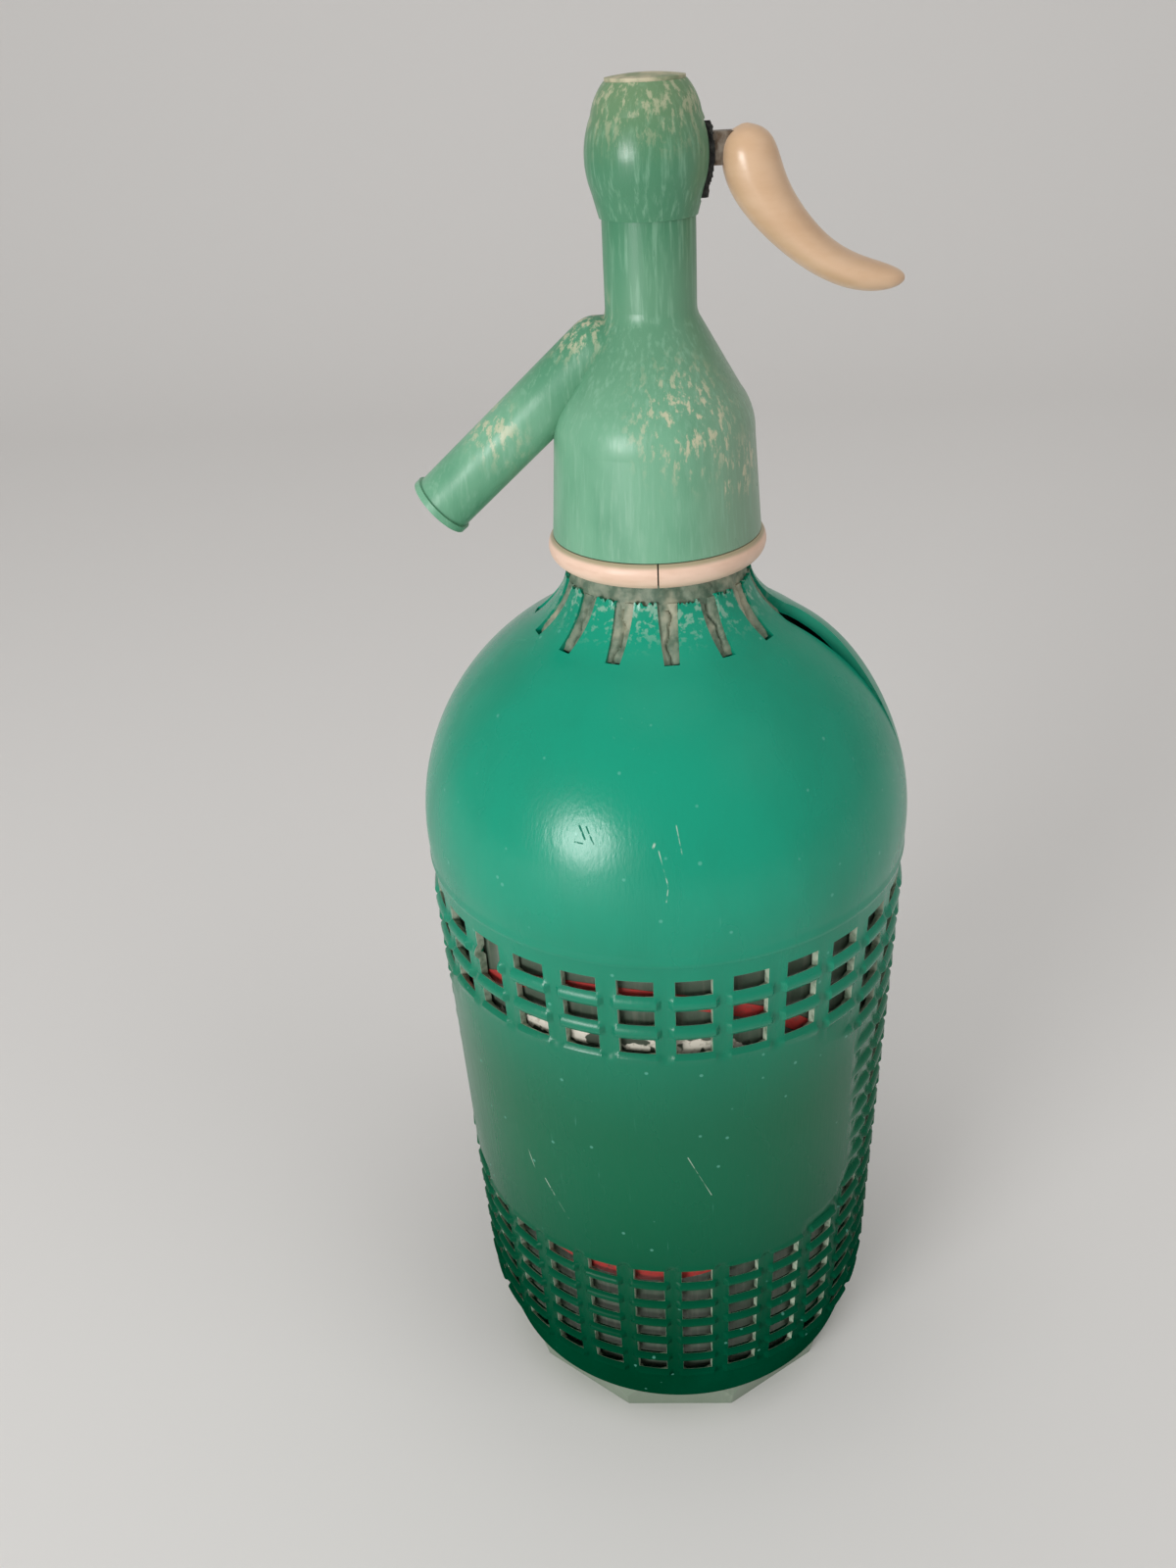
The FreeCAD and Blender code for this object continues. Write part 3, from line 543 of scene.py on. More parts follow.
RIB_CRACK = ((20.3, -48.2, 131.3), (23.0, -47.1, 128.2), 0.35)
MOULD_SEAM = ((44.7, -19.9, 30.0), (48.2, -21.4, 146.0), 0.45)
jacket_green = Finish("jacket_green", roughness=0.32)
mottle = jacket_green.noise((28, 28, 14), detail=5)
jacket_height = jacket_green.axis("Z")
shine = jacket_green.times(jacket_green.step(jacket_height, *SHINE_RISE), JACKET_SHINE)
jacket_green.set(jacket_green.shader.inputs["Specular IOR Level"], shine)
# Painted shade: the green darkens from the dome down through the cage to the foot.
shaded_body_tone = jacket_green.blend(jacket_green.step(jacket_height, *SHADE_FOOT_TO_CAGE), FOOT_PAINTED_SHADE, CAGE_PAINTED_SHADE)
shaded_body_tone = jacket_green.blend(jacket_green.step(jacket_height, *SHADE_CAGE_TO_DOME), shaded_body_tone, DOME_GREEN)
cloud = jacket_green.times(jacket_green.step(mottle, 0.35, 0.75), 0.30)
shaded_body_tone = jacket_green.blend(cloud, shaded_body_tone, JACKET_DEEP)
hairlines = jacket_green.step(jacket_green.noise((900, 900, 55), detail=2, distortion=0.6), 0.70, 0.78)
patches = jacket_green.step(jacket_green.noise((35, 35, 22), detail=3, shift=(3, 1, 2)), 0.45, 0.70)
specks = jacket_green.step(jacket_green.cells((170, 170, 170)), 0.085, 0.045)
fine_wear = jacket_green.most(jacket_green.times(hairlines, patches), specks)
shaded_body_tone = jacket_green.blend(jacket_green.times(fine_wear, 0.4), shaded_body_tone, SCUFF_PALE)
chalk = jacket_green.noise((650, 650, 650), detail=3)
marks = jacket_green.scratches(DOME_MARKS + PANEL_MARKS)
marks = jacket_green.times(marks, jacket_green.step(chalk, 0.36, 0.52))
neck_rub = jacket_green.step(jacket_height, *NECK_RUB)
neck_rub = jacket_green.times(neck_rub, jacket_green.step(chalk, 0.52, 0.62))
marks = jacket_green.most(marks, jacket_green.times(neck_rub, 0.5))
shaded_body_tone = jacket_green.blend(jacket_green.times(marks, 0.75), shaded_body_tone, CHALK)
scuff = jacket_green.times(jacket_green.scratches(DOME_SCUFFS), jacket_green.step(chalk, 0.34, 0.46))
shaded_body_tone = jacket_green.blend(jacket_green.times(scuff, 0.7), shaded_body_tone, SCUFF_DARK)
jacket_green.colour(jacket_green.blend(jacket_green.scratch(*RIB_CRACK), shaded_body_tone, CRACK_DARK))
shell_rough = jacket_green.step(mottle, -0.34, 2.15)
jacket_green.rough(jacket_green.most(shell_rough, jacket_green.times(scuff, 0.9)))
jacket_green.relief(jacket_green.scratch(*MOULD_SEAM), 0.5, 0.5 * MM)
jacket_green.relief(jacket_green.noise((220, 220, 160), detail=3), 0.10, 0.4 * MM)
jacket_green.relief(jacket_green.noise((40, 40, 30), detail=2), 0.20, 0.8 * MM)
jacket_green.relief(jacket_green.noise((1500, 1500, 90), detail=2), 0.22, 0.2 * MM)


def two_tone(name, first, second, scale, detail, edges, bump, **shader):
    """A finish whose one noise mixes two tones, between two edges, and lifts the surface."""
    finish = Finish(name, **shader)
    pattern = finish.noise(scale, detail)
    share = finish.step(pattern, *edges) if edges else pattern
    finish.colour(finish.blend(share, first, second))
    if bump:
        finish.relief(pattern, *bump)
    return finish


RIM_PALE = (0.42, 0.50, 0.38)
RIM_DIRT = (0.13, 0.20, 0.13)
jacket_rim = two_tone(
    "jacket_cut_edge", RIM_PALE, RIM_DIRT, (400, 400, 400), 4, (0.40, 0.68), (0.4, 0.3 * MM), roughness=0.7)

cage = make_cage()
cage.data.materials.append(jacket_green.material)
cage.data.materials.append(jacket_rim.material)
give_wall(cage, CAGE_WALL, rim_slot=1, crease=WALL_CREASE)
chamfer_windows(cage, WINDOW_CHAMFER)
bpy.ops.object.shade_smooth_by_angle(angle=CHAMFER_CREASE)
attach(cage, "siphon")
bpy.ops.object.select_all(action="DESELECT")


# The shoulder is the jacket's smooth upper part. Radial slots part its neck into petals,
# which let the mould draw and the bottle in, and one slot has torn on down the shoulder,
# so that the jacket stands a little open there.
SHOULDER_STEP = 146.3 * MM
SHOULDER_WALL = 2.3 * MM
SHOULDER_RADIUS = 53.0 * MM
SHOULDER_RISE = 51.5 * MM
SHOULDER_MIDDLE = 153.5 * MM
STEP_DEPTH = 0.25 * MM
STEP_HEIGHT = 1.2 * MM
STEP_SHARE = 0.04
DOME_SHARE = 0.80
DOME_END = 27.0 * MM
DOME_FOOT_ANGLE = math.asin((SHOULDER_STEP + STEP_HEIGHT - SHOULDER_MIDDLE) / SHOULDER_RISE)
DOME_TOP_ANGLE = math.acos(DOME_END / SHOULDER_RADIUS)
PETAL_TIP = (18.9 * MM, 208.0 * MM)
PETAL_TURN = (20.8 * MM, 202.0 * MM)
PETAL_RAGGED = 0.5 * MM
SHOULDER_RINGS = 64
SLOTS = 14
SLOT_PITCH = 2 * math.pi / SLOTS
SLOT_START = math.radians(4.9)
SLOT_REACH = 25.8 * MM
SLOT_HALF = 1.5 * MM
SLOT_HALF_AT_TIP = 2.0 * MM
LEAST_SLOT_ANGLE = 0.6 * math.asin(SLOT_HALF / SLOT_REACH)
PETAL_LINES = (0.0, 0.10, 0.22, 0.36, 0.52, 0.68, 0.84, 1.0)
HALF_PETAL = len(PETAL_LINES)
TEAR_SLOT = 3
TEAR_ANGLE = SLOT_START + TEAR_SLOT * SLOT_PITCH
TEAR_REACH = 46.0 * MM
TEAR_HALF = 1.9 * MM
LEAST_TEAR_ANGLE = 0.0004
LIP_OUT = 1.21 * MM
LIP_UP = 1.76 * MM
LIP_SPREAD = math.radians(34)
LIP_INNER = (19 * MM, 28 * MM)
LIP_OUTER = (52 * MM, 32 * MM)


def shoulder_line(share):
    """Radius and height of the outline from the step, 0, to the petals' tips, 1."""
    if share < STEP_SHARE:
        t = share / STEP_SHARE
        return (SHOULDER_RADIUS - (1 - t) * STEP_DEPTH, SHOULDER_STEP + t * STEP_HEIGHT)
    if share < DOME_SHARE:
        along = (share - STEP_SHARE) / (DOME_SHARE - STEP_SHARE)
        t = DOME_FOOT_ANGLE + along * (DOME_TOP_ANGLE - DOME_FOOT_ANGLE)
        return (SHOULDER_RADIUS * math.cos(t), SHOULDER_MIDDLE + SHOULDER_RISE * math.sin(t))
    t = (share - DOME_SHARE) / (1 - DOME_SHARE)
    dome_top = (DOME_END, SHOULDER_MIDDLE + SHOULDER_RISE * math.sin(DOME_TOP_ANGLE))
    return tuple(
        (1 - t) ** 2 * first + 2 * t * (1 - t) * middle + t * t * last
        for first, middle, last in zip(dome_top, PETAL_TURN, PETAL_TIP)
    )


def slot_half(radius, torn):
    """Half width of a slot at a radius. The torn one runs on as a narrowing slit."""
    if torn and radius > SLOT_REACH:
        return TEAR_HALF * smooth((TEAR_REACH - radius) / (TEAR_REACH - SLOT_REACH))
    if radius > SLOT_REACH:
        return SLOT_HALF
    share = (SLOT_REACH - radius) / (SLOT_REACH - PETAL_TIP[0])
    return SLOT_HALF + share * (SLOT_HALF_AT_TIP - SLOT_HALF)


def slot_place(column):
    """The slot that a column of the grid is nearest to, and the steps from it to the column."""
    slot, step = divmod(column + HALF_PETAL, 2 * HALF_PETAL)
    return slot % SLOTS, step - HALF_PETAL


def lip_lift(radius, angle):
    """Share of the full lift that the free side of the tear has at a place."""
    off = (angle - TEAR_ANGLE + math.pi) % (2 * math.pi) - math.pi
    if off <= 0:
        return 0.0
    inner = smooth((radius - LIP_INNER[0]) / (LIP_INNER[1] - LIP_INNER[0]))
    outer = smooth((radius - LIP_OUTER[0]) / (LIP_OUTER[1] - LIP_OUTER[0]))
    return inner * outer * smooth(1 - off / LIP_SPREAD)


def make_shoulder():
    across = SLOTS * 2 * HALF_PETAL
    bpy.ops.mesh.primitive_grid_add(x_subdivisions=across, y_subdivisions=SHOULDER_RINGS, size=2)
    shoulder = bpy.context.object
    shoulder.name = "jacket_shoulder"
    places = grid_places(shoulder.data, across, SHOULDER_RINGS)
    clear_picks("FACE")
    draw = random.Random(7)
    tips = [draw.uniform(-PETAL_RAGGED, PETAL_RAGGED) for _ in range(across + 1)]
    tips[-1] = tips[0]
    for face in shoulder.data.polygons:
        slot, step = slot_place(min(places[v][0] for v in face.vertices))
        ring = min(places[v][1] for v in face.vertices)
        radius, height = shoulder_line((ring + 0.5) / SHOULDER_RINGS)
        reach = TEAR_REACH if slot == TEAR_SLOT else SLOT_REACH
        face.select = step in (-1, 0) and radius < reach and height > SHOULDER_MIDDLE
    for vertex, (column, ring) in zip(shoulder.data.vertices, places):
        radius, height = shoulder_line(ring / SHOULDER_RINGS)
        slot, step = slot_place(column)
        torn = slot == TEAR_SLOT
        edge = LEAST_TEAR_ANGLE if torn else LEAST_SLOT_ANGLE
        if height > SHOULDER_MIDDLE:
            edge = max(edge, math.asin(slot_half(radius, torn) / radius))
        angle = SLOT_START + slot * SLOT_PITCH
        if step != 0:
            share = PETAL_LINES[abs(step) - 1]
            angle += math.copysign(edge + share * (SLOT_PITCH / 2 - edge), step)
        if ring == SHOULDER_RINGS:
            height += tips[column]
        if height > SHOULDER_MIDDLE:
            lift = lip_lift(radius, angle)
            radius += LIP_OUT * lift
            height += LIP_UP * lift
        vertex.co = around(radius, angle, height)
    close_ring(cut=True)
    return shoulder


shoulder = make_shoulder()
shoulder.data.materials.append(jacket_green.material)
shoulder.data.materials.append(jacket_rim.material)
give_wall(shoulder, SHOULDER_WALL, rim_slot=0, crease=WALL_CREASE)
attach(shoulder, "siphon")
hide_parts("plastic_jacket")
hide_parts("plastic_jacket")
bpy.ops.object.select_all(action="DESELECT")


# Dirt and dried glue have packed the slots almost level with the shoulder. Each is a
# narrow strip with a wandering crack down its middle, and a crumbling ring of the same
# dirt fills the gap between the petals' tips and the collar.
DIRT_DEPTH = 0.55 * MM
DIRT_THICKNESS = 0.5 * MM
DIRT_GRAIN = 0.08 * MM
DIRT_OVERLAP = 0.05 * MM
DIRT_START = 0.823
DIRT_END_DROP = 0.5 * MM
DIRT_END_SLOPE = 9
DIRT_ACROSS = 10
DIRT_ALONG = 30
DIRT_CREASE = math.radians(50)
CRACK_DEPTH = 0.9 * MM
CRACK_WIDTH = 0.16
CRACK_WANDER = ((0.3, 7, 1), (0.12, 19, 2))
NECK_DIRT_LOW = (18.3 * MM, 206.6 * MM)
NECK_DIRT_HIGH = (17.3 * MM, 211.4 * MM)
NECK_DIRT_WALL = 1.5 * MM
NECK_DIRT_GRAIN = 0.22 * MM
NECK_DIRT_LUMP = 0.25 * MM
NECK_DIRT_LUMPS = 14
NECK_DIRT_SHIFT = 1.5
NECK_DIRT_SIDES = 180
NECK_DIRT_CUTS = 5


def line_normal(share):
    """Outward direction of the shoulder's outline."""
    first = shoulder_line(share - 0.004)
    second = shoulder_line(min(share + 0.004, 1.0))
    run = (second[0] - first[0], second[1] - first[1])
    size = math.hypot(*run)
    return (run[1] / size, -run[0] / size)


def make_slot_dirt():
    draw = random.Random(11)
    strips = []
    for number in range(SLOTS):
        bpy.ops.mesh.primitive_grid_add(x_subdivisions=DIRT_ACROSS, y_subdivisions=DIRT_ALONG, size=2)
        strip = bpy.context.object
        phase = draw.uniform(0, 6)
        for vertex in strip.data.vertices:
            along = (vertex.co.y + 1) / 2
            share = DIRT_START + along * (1 - DIRT_START)
            radius, height = shoulder_line(share)
            out, up = line_normal(share)
            crack = 0.0
            for size, waves, turns in CRACK_WANDER:
                crack += size * math.sin(waves * along + turns * phase)
            depth = DIRT_DEPTH + CRACK_DEPTH * math.exp(-((vertex.co.x - crack) / CRACK_WIDTH) ** 2)
            depth += draw.uniform(-DIRT_GRAIN, DIRT_GRAIN)
            depth += DIRT_END_DROP * smooth(1 - DIRT_END_SLOPE * along)
            half_width = slot_half(min(radius, SLOT_REACH), torn=False) + DIRT_OVERLAP
            angle = SLOT_START + number * SLOT_PITCH + vertex.co.x * half_width / radius
            vertex.co = around(radius - out * depth, angle, height - up * depth)
        strips.append(strip)
    for strip in strips:
        strip.select_set(True)
    bpy.ops.object.join()
    dirt = bpy.context.object
    dirt.name = "slot_dirt"
    give_wall(dirt, DIRT_THICKNESS, rim_slot=0, crease=DIRT_CREASE)
    return dirt


def make_neck_dirt():
    draw = random.Random(5)
    bpy.ops.mesh.primitive_cylinder_add(
        vertices=NECK_DIRT_SIDES, radius=1, depth=2, end_fill_type="NOTHING")
    ring = bpy.context.object
    ring.name = "neck_dirt"
    bpy.ops.object.mode_set(mode="EDIT")
    bpy.ops.mesh.select_all(action="SELECT")
    bpy.ops.mesh.normals_make_consistent(inside=False)
    bpy.ops.object.mode_set(mode="OBJECT")
    clear_picks("EDGE")
    for edge in ring.data.edges:
        first, second = (ring.data.vertices[v].co.z for v in edge.vertices)
        edge.select = first * second < 0
    bpy.ops.object.mode_set(mode="EDIT")
    bpy.ops.mesh.subdivide(number_cuts=NECK_DIRT_CUTS)
    bpy.ops.mesh.select_all(action="DESELECT")
    bpy.ops.object.mode_set(mode="OBJECT")
    for vertex in ring.data.vertices:
        share = (vertex.co.z + 1) / 2
        turn = math.atan2(vertex.co.x, -vertex.co.y)
        radius, height = (low + share * (high - low) for low, high in zip(NECK_DIRT_LOW, NECK_DIRT_HIGH))
        radius += draw.uniform(-NECK_DIRT_GRAIN, NECK_DIRT_GRAIN)
        radius += NECK_DIRT_LUMP * math.sin(NECK_DIRT_LUMPS * turn + NECK_DIRT_SHIFT)
        vertex.co = around(radius, turn, height)
    give_wall(ring, NECK_DIRT_WALL, rim_slot=0, crease=DIRT_CREASE)
    return ring


neck_dirt = make_neck_dirt()
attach(neck_dirt, "siphon")
bpy.ops.object.select_all(action="DESELECT")
slot_dirt = make_slot_dirt()
DIRT_BROWN = (0.20, 0.25, 0.18)
DIRT_DARK = (0.09, 0.15, 0.10)
DIRT_GLUE = (0.40, 0.40, 0.29)
packed_dirt = Finish("packed_dirt", roughness=0.62)
crumbs = packed_dirt.noise((420, 420, 420), detail=5)
glue = packed_dirt.step(packed_dirt.noise((150, 150, 150), detail=3), 0.50, 0.72)
dirt_tone = packed_dirt.blend(packed_dirt.step(crumbs, 0.40, 0.62), DIRT_BROWN, DIRT_DARK)
packed_dirt.colour(packed_dirt.blend(glue, dirt_tone, DIRT_GLUE))
packed_dirt.relief(crumbs, 0.5, 0.4 * MM)
slot_dirt.data.materials.append(packed_dirt.material)
neck_dirt.data.materials.append(packed_dirt.material)
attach(slot_dirt, "siphon")
bpy.ops.object.select_all(action="DESELECT")


# The split collar grips the bottle's bead under the head. Its two halves are moulded in a
# pinkish beige plastic, rubbed smooth outside, with dirt along the top, under the head.
COLLAR_BEIGE = (0.84, 0.60, 0.47)
COLLAR_SHADE = (0.76, 0.52, 0.39)
COLLAR_DIRT = (0.22, 0.24, 0.12)
COLLAR_DIRT_RISE = (215.8 * MM, 216.6 * MM)
collar = Finish("collar_beige", roughness=0.42)
streak = collar.noise((120, 120, 500), detail=4)
collar_tone = collar.blend(collar.step(streak, 0.35, 0.7), COLLAR_BEIGE, COLLAR_SHADE)
top_dirt = collar.times(collar.step(collar.axis("Z"), *COLLAR_DIRT_RISE), 0.7)
collar.colour(collar.blend(top_dirt, collar_tone, COLLAR_DIRT))
collar.relief(collar.noise((300, 300, 300), detail=3), 0.15, 0.3 * MM)
for node in ("collar_half_lever_side", "collar_half_spout_side"):
    dress(node, collar)


# The head is one moulding in green plastic that the weather has turned chalky. Fine streaks
# run down it, and it has worn to cream on the crown, the spout's elbow and one side.
BELL_GREEN = (0.170, 0.400, 0.255)
NECK_GREEN = (0.115, 0.290, 0.172)
BULB_GREEN = (0.066, 0.225, 0.122)
HEAD_DEEP = (0.045, 0.230, 0.120)
HEAD_GREY = (0.230, 0.300, 0.215)
HEAD_CHALK = (0.26, 0.47, 0.33)
HEAD_OLIVE = (0.20, 0.27, 0.13)
HEAD_CREAM = (0.58, 0.54, 0.37)
HEAD_SHINE = 0.4
BELL_TO_NECK = (238 * MM, 255 * MM)
NECK_TO_BULB = (264 * MM, 276 * MM)
GREY_SIDE = (2 * MM, 20 * MM)
OLIVE_RISE = (283 * MM, 298 * MM)
CROWN_WEAR = (284 * MM, 296 * MM)
FAINTER_WEAR = (262 * MM, 276 * MM)
WORN_SPOTS = (
    ((7, -18, 243), 16),
    ((16.5, -10, 232), 8),
    ((-14, -2, 258), 10),
    ((-30, -2, 238), 9),
)
SCRAPE_AZIMUTH = math.radians(42)
SCRAPE_SIDES = (0.05, 0.02)
SCRAPE_FOOT = (224 * MM, 229 * MM)
SCRAPE_TOP = (246 * MM, 242 * MM)
head = Finish("weathered_green", roughness=0.46)
head.shader.inputs["Specular IOR Level"].default_value = HEAD_SHINE
head_height = head.axis("Z")
veins = head.noise((1100, 1100, 90), detail=4, rough=0.6)
clouds = head.noise((60, 60, 30), detail=4)
head_tone = head.blend(head.step(head_height, *BELL_TO_NECK), BELL_GREEN, NECK_GREEN)
head_tone = head.blend(head.step(head_height, *NECK_TO_BULB), head_tone, BULB_GREEN)
deep = head.times(head.step(clouds, 0.42, 0.72), 0.55)
head_tone = head.blend(deep, head_tone, HEAD_DEEP)
grey = head.times(head.step(head.axis("X"), *GREY_SIDE), 0.65)
head_tone = head.blend(grey, head_tone, HEAD_GREY)
chalky_veins = head.times(head.step(veins, 0.48, 0.70), 0.40)
head_tone = head.blend(chalky_veins, head_tone, HEAD_CHALK)
olive = head.times(head.step(head_height, *OLIVE_RISE), 0.55)
head_tone = head.blend(olive, head_tone, HEAD_OLIVE)
scrape_offset = head.math("SUBTRACT", head.turn(), math.pi - SCRAPE_AZIMUTH)
long_scrape = head.step(head.math("ABSOLUTE", scrape_offset), *SCRAPE_SIDES)
long_scrape = head.times(long_scrape, head.step(head_height, *SCRAPE_FOOT))
long_scrape = head.times(long_scrape, head.step(head_height, *SCRAPE_TOP))
worn_spots = [head.near(spot, reach) for spot, reach in WORN_SPOTS]
wear = head.most(head.step(head_height, *CROWN_WEAR), long_scrape, *worn_spots)
chips = head.noise((720, 720, 270), detail=4, rough=0.65)
wear = head.times(wear, head.step(chips, 0.50, 0.62))
wear_strength = head.math("SUBTRACT", 0.85, head.times(head.step(head_height, *FAINTER_WEAR), 0.35))
head.colour(head.blend(head.times(wear, wear_strength), head_tone, HEAD_CREAM))
head.rough(head.step(clouds, -0.38, 1.85))
head.relief(veins, 0.22, 0.3 * MM)
head.relief(head.noise((45, 45, 20), detail=2), 0.2, 0.8 * MM)
dress("head_body", head)


# The cap is a moulded disc whose plug closes the top of the bulb over the works. It has
# lost its green and shows worn cream plastic.
CAP_CREAM = (0.52, 0.47, 0.32)
CAP_GREEN = (0.24, 0.29, 0.17)
cap = two_tone(
    "worn_cream", CAP_CREAM, CAP_GREEN, (260, 260, 260), 5, (0.40, 0.66), (0.3, 0.3 * MM), roughness=0.6)
dress("top_cap", cap)


# The thumb handle is moulded in beige plastic over the bar's tang: round at the top, flat
# and curved like a horn towards its tip.
HANDLE_BEIGE = (0.66, 0.45, 0.29)
HANDLE_SHADE = (0.61, 0.40, 0.245)
handle_finish = Finish("handle_beige", roughness=0.28)
grain = handle_finish.step(handle_finish.noise((90, 90, 260), detail=4), 0.35, 0.7)
handle_finish.colour(handle_finish.blend(grain, HANDLE_BEIGE, HANDLE_SHADE))
handle_finish.relief(handle_finish.noise((350, 350, 350), detail=3), 0.12, 0.3 * MM)
dress("lever_handle", handle_finish)


# The lever is a flat bar of plated steel, gone dull brown. It turns on a pin in the
# bulb, and its outer end is the tang that the handle is moulded on.
BAR_STEEL = (0.30, 0.26, 0.21)
BAR_RUST = (0.13, 0.09, 0.06)
bar = two_tone(
    "tarnished_bar", BAR_STEEL, BAR_RUST, (500, 500, 300), 5, (0.40, 0.65), (0.4, 0.3 * MM),
    roughness=0.5, metallic=0.85)
dress("lever_arm", bar)


# A gaiter of black rubber fills the slot in the bulb round the lever. It has perished, so
# its face is made of finer faces and crumbled back by a cloudy displacement.
RUBBER_BLACK = (0.012, 0.012, 0.012)
RUBBER_DUST = (0.05, 0.05, 0.045)
GAITER_FACES = 0.22 * MM
GAITER_CRUMB = 2.2 * MM
GAITER_CRUMBLE = 1.5 * MM
GAITER_LEVEL = 0.85
rubber = two_tone(
    "perished_rubber", RUBBER_BLACK, RUBBER_DUST, (700, 700, 700), 4, (0.4, 0.7), (0.6, 0.5 * MM),
    roughness=0.8)
dress("slot_gaiter", rubber)
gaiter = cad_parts["slot_gaiter"]
fine = gaiter.modifiers.new("fine_faces", "REMESH")
fine.mode = "VOXEL"
fine.voxel_size = GAITER_FACES
crumble_form = bpy.data.textures.new("crumbled_rubber", "CLOUDS")
crumble_form.noise_scale = GAITER_CRUMB
torn = gaiter.modifiers.new("torn_edges", "DISPLACE")
torn.texture = crumble_form
torn.texture_coords = "LOCAL"
torn.strength = GAITER_CRUMBLE
torn.mid_level = GAITER_LEVEL


# The works inside the head: turned brass, stainless wire and pins, red-brown rubber, and
# the natural white plastic of the dip tube, its bush and the spout's liner.
BRASS = (0.70, 0.50, 0.20)
BRASS_DULL = (0.56, 0.38, 0.14)
STEEL = (0.62, 0.62, 0.62)
STEEL_DULL = (0.45, 0.45, 0.46)
SEAL_RED = (0.30, 0.07, 0.05)
SEAL_DULL = (0.20, 0.06, 0.05)
NATURAL_WHITE = (0.78, 0.78, 0.70)
NATURAL_DULL = (0.62, 0.60, 0.50)
brass = two_tone(
    "turned_brass", BRASS, BRASS_DULL, (60, 60, 2500), 2, None, (0.2, 0.1 * MM),
    roughness=0.32, metallic=1.0)
steel = two_tone(
    "stainless_steel", STEEL, STEEL_DULL, (1200, 1200, 1200), 2, None, None,
    roughness=0.28, metallic=1.0)
seal = two_tone(
    "red_rubber", SEAL_RED, SEAL_DULL, (500, 500, 500), 3, None, (0.3, 0.2 * MM), roughness=0.75)
natural = two_tone(
    "natural_plastic", NATURAL_WHITE, NATURAL_DULL, (150, 150, 60), 4, None, (0.1, 0.3 * MM),
    roughness=0.45)
for finish, nodes in (
    (brass, ("valve_seat", "washer_cup", "washer_screw", "valve_stem", "seal_retainer", "stem_guide")),
    (steel, ("valve_spring", "drive_pin", "lever_pin")),
    (seal, ("neck_gasket", "valve_washer", "piston_seal")),
    (natural, ("dip_tube_bush", "dip_tube", "spout_liner")),
):
    for node in nodes:
        dress(node, finish)


# The floor is one plane that runs back and, past an arc, up into a plain pale backdrop.
# It only sets off the siphon and is no part of it.
FLOOR_WIDTH = 12.0
FLOOR_LENGTH = 3.0
FLOOR_SHIFT = -0.6
ARC_RADIUS = 0.6
ARC_STEPS = 12
ARC_PART = math.pi / 2 / ARC_STEPS
BACKDROP_HEIGHT = 2.0
BACKDROP_PALE = (0.80, 0.785, 0.77)
bpy.ops.mesh.primitive_plane_add(size=1)
floor = bpy.context.object
floor.name = "pale_floor"
floor.data.transform(Matrix.Diagonal((FLOOR_WIDTH, FLOOR_LENGTH, 1, 1)))
floor.data.transform(Matrix.Translation((0, FLOOR_SHIFT, 0)))
clear_picks("EDGE")
for edge in floor.data.edges:
    edge.select = all(floor.data.vertices[v].co.y > 0 for v in edge.vertices)
bpy.ops.object.mode_set(mode="EDIT")
for number in range(ARC_STEPS):
    angle = ARC_PART * (number + 0.5)
    step = (0, ARC_RADIUS * ARC_PART * math.cos(angle), ARC_RADIUS * ARC_PART * math.sin(angle))
    bpy.ops.mesh.extrude_region_move(TRANSFORM_OT_translate={"value": step})
bpy.ops.mesh.extrude_region_move(TRANSFORM_OT_translate={"value": (0, 0, BACKDROP_HEIGHT)})
bpy.ops.object.mode_set(mode="OBJECT")
bpy.ops.object.shade_smooth()
pale = Finish("pale_backdrop", roughness=0.9)
pale.colour(BACKDROP_PALE)
floor.data.materials.append(pale.material)
bpy.ops.object.select_all(action="DESELECT")


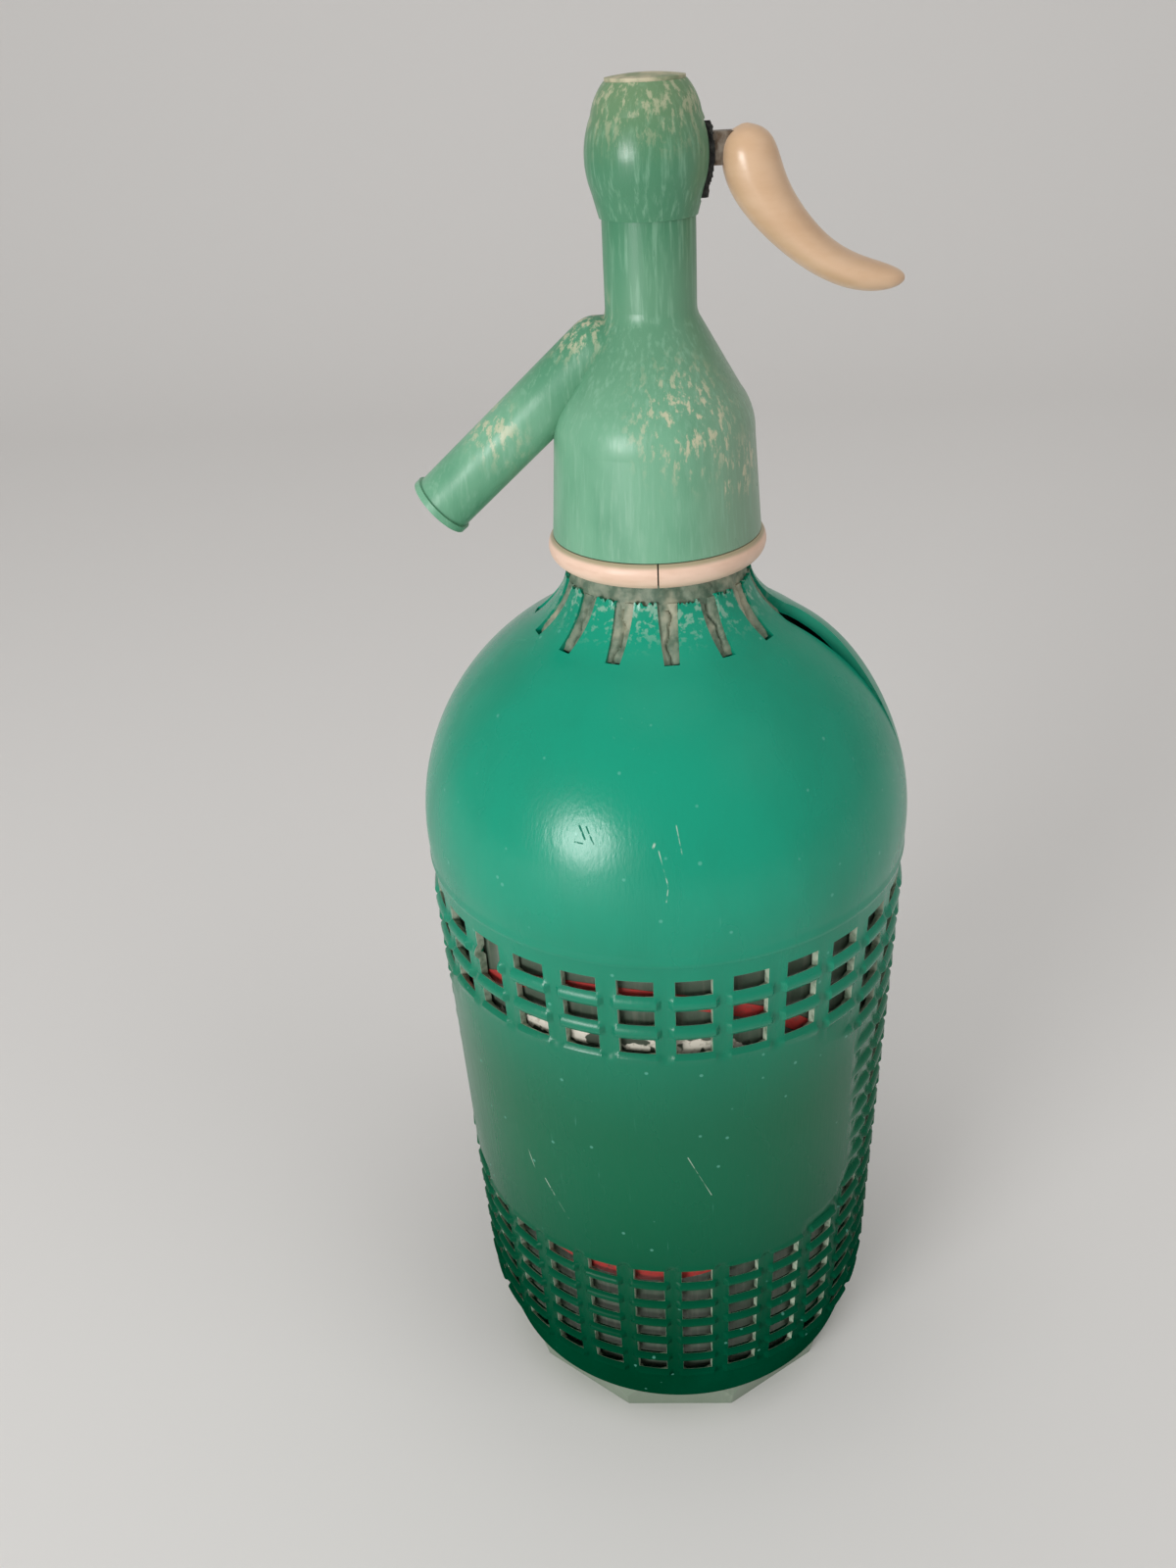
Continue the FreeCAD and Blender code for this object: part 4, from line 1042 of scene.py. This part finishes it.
# A soft round lamp stands low at the front left, with a wide fill on the right and one
# overhead. Only the first is mirrored, as the one highlight on the jacket's shoulder.
LAMP_AIM = Vector((0, 0, 0.17))
LAMP_FLATNESS = 0.74
ROOM_TONE = (1, 0.985, 0.965, 1)
ROOM_STRENGTH = 0.40


def lamp(name, azimuth, elevation, distance, size, power, mirrored):
    around_aim = math.radians(azimuth)
    rise = math.radians(elevation)
    place = LAMP_AIM + distance * Vector(around(math.cos(rise), around_aim, math.sin(rise)))
    bpy.ops.object.light_add(type="AREA", location=place)
    light = bpy.context.object
    light.name = name
    light.data.shape = "ELLIPSE"
    light.data.size = size
    light.data.size_y = LAMP_FLATNESS * size
    light.data.energy = power
    light.visible_glossy = mirrored
    light.rotation_euler = (LAMP_AIM - place).to_track_quat("-Z", "Y").to_euler()


lamp("key_lamp", -37, 9, 1.3, 0.60, 10.0, True)
lamp("fill_lamp", 55, 40, 1.8, 1.2, 3.5, False)
lamp("top_lamp", 0, 80, 1.8, 1.4, 7, False)
world = bpy.data.worlds.new("soft_light_all_round")
bpy.context.scene.world = world
world.use_nodes = True
world.node_tree.nodes["Background"].inputs["Color"].default_value = ROOM_TONE
world.node_tree.nodes["Background"].inputs["Strength"].default_value = ROOM_STRENGTH


# The camera stands where the photograph was taken from: close in front, a little above the
# siphon and looking down at it, turned and tilted by a few degrees.
CAMERA_PLACE = (0, -0.27215, 0.3123)
CAMERA_PITCH = math.radians(29.51)
CAMERA_ROLL = math.radians(-3.276)
CAMERA_YAW = math.radians(3.537)
CAMERA_LENS = 32.31
CAMERA_SENSOR = 36
CAMERA_NEAREST = 0.01
turn = Matrix.Rotation(CAMERA_YAW, 3, "Z") @ Matrix.Rotation(math.pi / 2 - CAMERA_PITCH, 3, "X")
turn = turn @ Matrix.Rotation(CAMERA_ROLL, 3, "Z")
bpy.ops.object.camera_add(location=CAMERA_PLACE, rotation=turn.to_euler())
camera = bpy.context.object
camera.data.sensor_width = CAMERA_SENSOR
camera.data.lens = CAMERA_LENS
camera.data.clip_start = CAMERA_NEAREST
bpy.context.scene.camera = camera
bpy.context.scene.view_settings.view_transform = "Standard"
bpy.ops.object.select_all(action="DESELECT")
